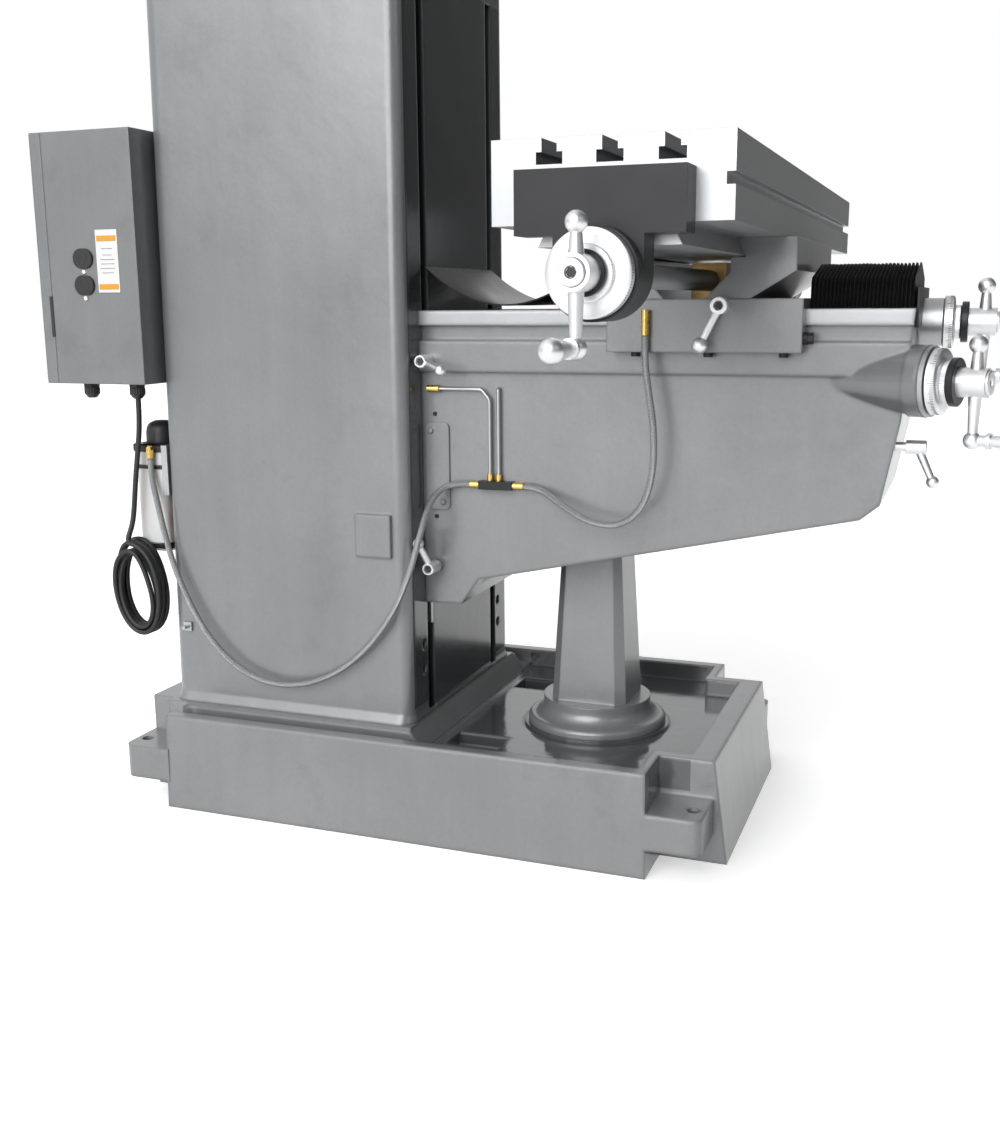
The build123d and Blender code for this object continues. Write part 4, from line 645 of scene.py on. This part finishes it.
# ring eyes at the ends of the clamp levers' hubs
for eye, eye_at, eye_out, eye_body, eye_radius in (
    ("upper_lock_eye", (-0.178, -0.014, 0.675), -X, "upper_lock", 0.009),
    ("lower_lock_eye", (-0.178, -0.020, 0.380), -X, "lower_lock", 0.009),
    ("saddle_lock_eye", (-0.204, -0.434, 0.749), -X, "saddle_lever", 0.011),
    ("front_lock_eye", (-0.112, -0.684, 0.570), -Y, "front_lock", 0.009),
):
    hub_end(eye, Vector(eye_at), eye_out, eye_body, eye_radius)

COLLAR_BORE = 0.0183
x_collar_at = Vector((-hub_reach + 0.0396, X_SCREW.y, X_SCREW.z))
seat_ring("x_collar_left", x_collar_at, -X, COLLAR_BORE, 0.0225, "x_feed", 0.007)
DIAL_STACK = 0.0222
seat_ring("y_collar", y_face - Y * DIAL_STACK, -Y, COLLAR_BORE, 0.0265, "y_feed", 0.009)
seat_ring("z_collar", z_face + shaft * DIAL_STACK, shaft, COLLAR_BORE, 0.0300, "z_feed", 0.009)

# ---------------------------------------------------------------- electrical box details
wall_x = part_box("duplex_outlet")[1].x
OUTLET_Y, OUTLET_Z, HALF_PITCH = 0.494, 0.8025, 0.01905


def rounded_plate(bm, centre, half_y, half_z, corner, thick, per_corner=8):
    """A plate on the box's left wall with rounded corners and a soft outer edge."""
    loops = []
    for out, shrink in ((0.0, 0.0), (thick - 0.0008, 0.0), (thick, 0.0008)):
        ring = []
        for cy, cz, start in ((1, 1, 0), (-1, 1, 90), (-1, -1, 180), (1, -1, 270)):
            for i in range(per_corner + 1):
                a = math.radians(start + 90 * i / per_corner)
                y = cy * (half_y - corner) + (corner - shrink) * math.cos(a)
                z = cz * (half_z - corner) + (corner - shrink) * math.sin(a)
                ring.append(bm.verts.new((centre.x - out, centre.y + y, centre.z + z)))
        loops.append(ring)
    skin(bm, loops)
    bm.faces.new(loops[-1])
    bm.faces.new(loops[0][::-1])


bm = bmesh.new()
# the plug slots and earth holes are flat dark marks on the faceplates: painted shade of the openings
slot_shade_marks = bmesh.new()
pins = bmesh.new()
for sign in (-1, 1):
    centre = Vector((wall_x, OUTLET_Y, OUTLET_Z + sign * HALF_PITCH))
    rounded_plate(bm, centre, 0.0170, 0.0143, 0.0136, 0.0034)
    for dy, height in ((-0.0063, 0.008), (0.0063, 0.0068)):
        slab(slot_shade_marks, centre + Vector((-0.0034, dy, 0.003)), (0.0005, 0.0022, height))
    lathe(slot_shade_marks, centre + Vector((-0.0031, 0, -0.0072)), -X, [(0, 0.0026), (0.0005, 0.0026)], 20)
for dz in (0, -0.0375):
    lathe(pins, Vector((wall_x, OUTLET_Y, OUTLET_Z + dz)), -X, [
        (0, 0.0036), (0.0012, 0.0036), (0.0022, 0.0028), (0.0026, 0.0012),
    ], 24)
add_piece("outlet_faces", bm, LOOKS["black_plastic"], "base", "duplex_outlet")
add_piece("outlet_slot_shade", slot_shade_marks, BLACK_PRINT_AND_HOLE_SHADE, "base", smooth=False)
add_piece("outlet_screws", pins, LOOKS["satin_chrome"], "base")

low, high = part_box("rating_label")
label_x, middle_y = low.x, (low.y + high.y) / 2
tall, wide = high.z - low.z, high.y - low.y
bm = bmesh.new()
rounded_plate(bm, Vector((high.x, middle_y, (low.z + high.z) / 2)), wide / 2, tall / 2, 0.002, 0.0006)
add_piece("label_sheet", bm, LOOKS["label"], "base", "rating_label")
PRINT_LIFT, PRINT_THICK = 0.00002, 0.0005
bands = bmesh.new()
for share in (0.10, 0.86):
    band_at = Vector((label_x - PRINT_LIFT, middle_y, low.z + tall * share))
    slab(bands, band_at, (PRINT_THICK, wide * 0.86, tall * 0.085))
add_piece("label_bands", bands, PRINT_ORANGE, "base", smooth=False)
rules = bmesh.new()
for share, reach in ((0.32, 0.5), (0.39, 0.66), (0.46, 0.58), (0.53, 0.62), (0.60, 0.4), (0.70, 0.5)):
    rule_at = Vector((label_x - PRINT_LIFT, middle_y, low.z + tall * share))
    slab(rules, rule_at, (PRINT_THICK, wide * reach, 0.0009))
add_piece("label_rules", rules, PRINT_GREY, "base", smooth=False)

bm = bmesh.new()
for y in (0.444, 0.527):
    top = Vector((GLAND_X / 1000, y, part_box("cable_glands")[1].z))
    lathe(bm, top, -Z, [(0, 0.0125), (0.006, 0.0125), (0.007, 0.0118)], 6)
    lathe(bm, top, -Z, [
        (0.007, 0.0100), (0.0075, 0.0112), (0.017, 0.0112), (0.021, 0.0085), (0.0235, 0.0062),
    ], 72, lambda angle, along: 1 + (0.03 * math.cos(18 * angle) if 0.007 < along < 0.018 else 0))
add_piece("gland_nuts", bm, LOOKS["black_plastic"], "base", "cable_glands", degrees=30)

# latch recess of the box door, on its left edge, drawn as a flat black strip: painted shade of the recess
bm = bmesh.new()
slab(bm, Vector((-0.2404, 0.5572, 0.7385)), (0.0012, 0.005, 0.059))
add_piece("door_recess_shade", bm, BLACK_PRINT_AND_HOLE_SHADE, "base", smooth=False)

# ---------------------------------------------------------------- lubrication pump
low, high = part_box("pump_reservoir")
bm = bmesh.new()
rings = []
tank_x, tank_y = (low.x + high.x) / 2, (low.y + high.y) / 2
half_x, half_y = (high.x - low.x) / 2, (high.y - low.y) / 2
for height, grow in ((0.0, -0.004), (0.004, 0.0), (0.05, 0.0), (0.154, 0.0)):
    ring = []
    for cx, cy, start in ((1, 1, 0), (-1, 1, 90), (-1, -1, 180), (1, -1, 270)):
        for i in range(7):
            a = math.radians(start + 15 * i)
            x = tank_x + cx * (half_x - 0.008) + (0.008 + grow) * math.cos(a)
            y = tank_y + cy * (half_y - 0.008) + (0.008 + grow) * math.sin(a)
            ring.append(bm.verts.new((x, y, low.z + height)))
    rings.append(ring)
skin(bm, rings)
bm.faces.new(rings[0][::-1])
bm.faces.new(rings[-1])
add_piece("oil_tank", bm, LOOKS["translucent"], "base", "pump_reservoir")
bm = bmesh.new()
for height, thick, grow in ((0.004, 0.010, 0.0015), (0.128, 0.007, 0.0015)):
    centre = Vector((tank_x, tank_y, low.z + height + thick / 2))
    slab(bm, centre, (2 * (half_x + grow), 2 * (half_y + grow), thick), bevel=0.002)
add_piece("tank_bands", bm, LOOKS["black_plastic"], "base")

bm = bmesh.new()
cap_at = Vector((-0.150, 0.441, 0.546))
lid_size = (2 * half_x + 0.004, 2 * half_y + 0.003, 0.013)
slab(bm, Vector((tank_x, tank_y, 0.5405)), lid_size, bevel=0.003)
lathe(bm, cap_at, Z, [
    (-0.001, 0.024), (0.016, 0.0238), (0.024, 0.0222), (0.030, 0.0180), (0.0335, 0.0100), (0.034, 0.0020),
], 40)
add_piece("pump_cap", bm, LOOKS["black_plastic"], "base", "pump_head")
bm = bmesh.new()
elbow = PUMP_HOSE[-1]
lathe(bm, elbow, Z, [
    (0, 0.0052), (0.006, 0.0052), (0.0062, 0.0062), (0.013, 0.0062), (0.014, 0.004), (0.019, 0.004),
], 6)
lathe(bm, elbow + Z * 0.014, X, [(-0.004, 0.004), (0.009, 0.004)], 20)
add_piece("pump_elbow", bm, LOOKS["brass"], "base")

# ---------------------------------------------------------------- small details
bm = bmesh.new()
for y, z in ((-0.020, 0.452), (-0.020, 0.600)):
    lathe(bm, Vector((-0.1441, y, z)), -X, [(0, 0.003), (0.0015, 0.003), (0.0022, 0.0022)], 20)
add_piece("cover_plate_screws", bm, LOOKS["black_steel"], "knee")

# ---------------------------------------------------------------- studio
FLOOR_HALF, FLOOR_Z = 9, -0.0005
# the floor and the backdrop are white to the camera, and the floor throws no diffuse light back
floor_mesh = bpy.data.meshes.new("floor")
floor_corners = [(x * FLOOR_HALF, y * FLOOR_HALF, FLOOR_Z) for x, y in ((-1, -1), (1, -1), (1, 1), (-1, 1))]
floor_mesh.from_pydata(floor_corners, [], [(0, 1, 2, 3)])
floor_kit = Nodes("floor_white")
floor_kit.finish(
    Base_Color=(0.93, 0.93, 0.93, 1), Roughness=0.85, Emission_Color=(1, 1, 1, 1), Emission_Strength=0.42
)
floor = new_object("floor", floor_mesh, floor_kit.material)
floor.visible_diffuse = False

# the studio's light comes from the left and from above, and falls off in front of the machine
FRONT_DIMNESS = 0.09
BELOW_LIGHT, ABOVE_LIGHT = 0.30, 1.1
world = bpy.data.worlds.new("studio")
world.use_nodes = True
scene.world = world
sky = world.node_tree


def sky_fall(source, low, high, dim, bright):
    node = sky.nodes.new("ShaderNodeMapRange")
    node.interpolation_type = "SMOOTHSTEP"
    for socket, value in (("From Min", low), ("From Max", high), ("To Min", dim), ("To Max", bright)):
        node.inputs[socket].default_value = value
    sky.links.new(source, node.inputs["Value"])
    return node.outputs["Result"]


def sky_times(a, b):
    node = sky.nodes.new("ShaderNodeMath")
    node.operation = "MULTIPLY"
    sky.links.new(a, node.inputs[0])
    sky.links.new(b, node.inputs[1])
    return node.outputs[0]


toward = sky.nodes.new("ShaderNodeSeparateXYZ")
sky.links.new(sky.nodes.new("ShaderNodeTexCoord").outputs["Generated"], toward.inputs[0])
light = sky_times(
    sky_fall(toward.outputs["Y"], -0.45, 0.30, FRONT_DIMNESS, 1.0),
    sky_fall(toward.outputs["Z"], -0.35, 0.55, BELOW_LIGHT, ABOVE_LIGHT),
)
backdrop = sky.nodes.new("ShaderNodeMix")
backdrop.data_type = "FLOAT"
sky.links.new(sky.nodes.new("ShaderNodeLightPath").outputs["Is Camera Ray"], backdrop.inputs[0])
sky.links.new(light, backdrop.inputs[2])
backdrop.inputs[3].default_value = 1.0
sky.links.new(backdrop.outputs[0], sky.nodes["Background"].inputs["Strength"])
sky.nodes["Background"].inputs["Color"].default_value = (1, 1, 1, 1)
scene.view_settings.view_transform = "Standard"
scene.view_settings.look = "None"


def softbox(name, place, target, size, power):
    data = bpy.data.lights.new(name, "AREA")
    data.shape = "RECTANGLE"
    data.size, data.size_y = size
    data.energy = power
    light = bpy.data.objects.new(name, data)
    light.location = place
    light.rotation_euler = (Vector(target) - Vector(place)).to_track_quat("-Z", "Y").to_euler()
    scene.collection.objects.link(light)


softbox("front_fill", (-1.6, -3.4, 2.4), (0, -0.3, 0.6), (1.2, 1.2), 6)
sun = bpy.data.objects.new("side_sun", bpy.data.lights.new("side_sun", "SUN"))
sun.data.energy = 2.5
sun.data.angle = math.radians(50)
sun.rotation_euler = Vector((1.0, -0.10, -0.45)).to_track_quat("-Z", "Y").to_euler()
scene.collection.objects.link(sun)
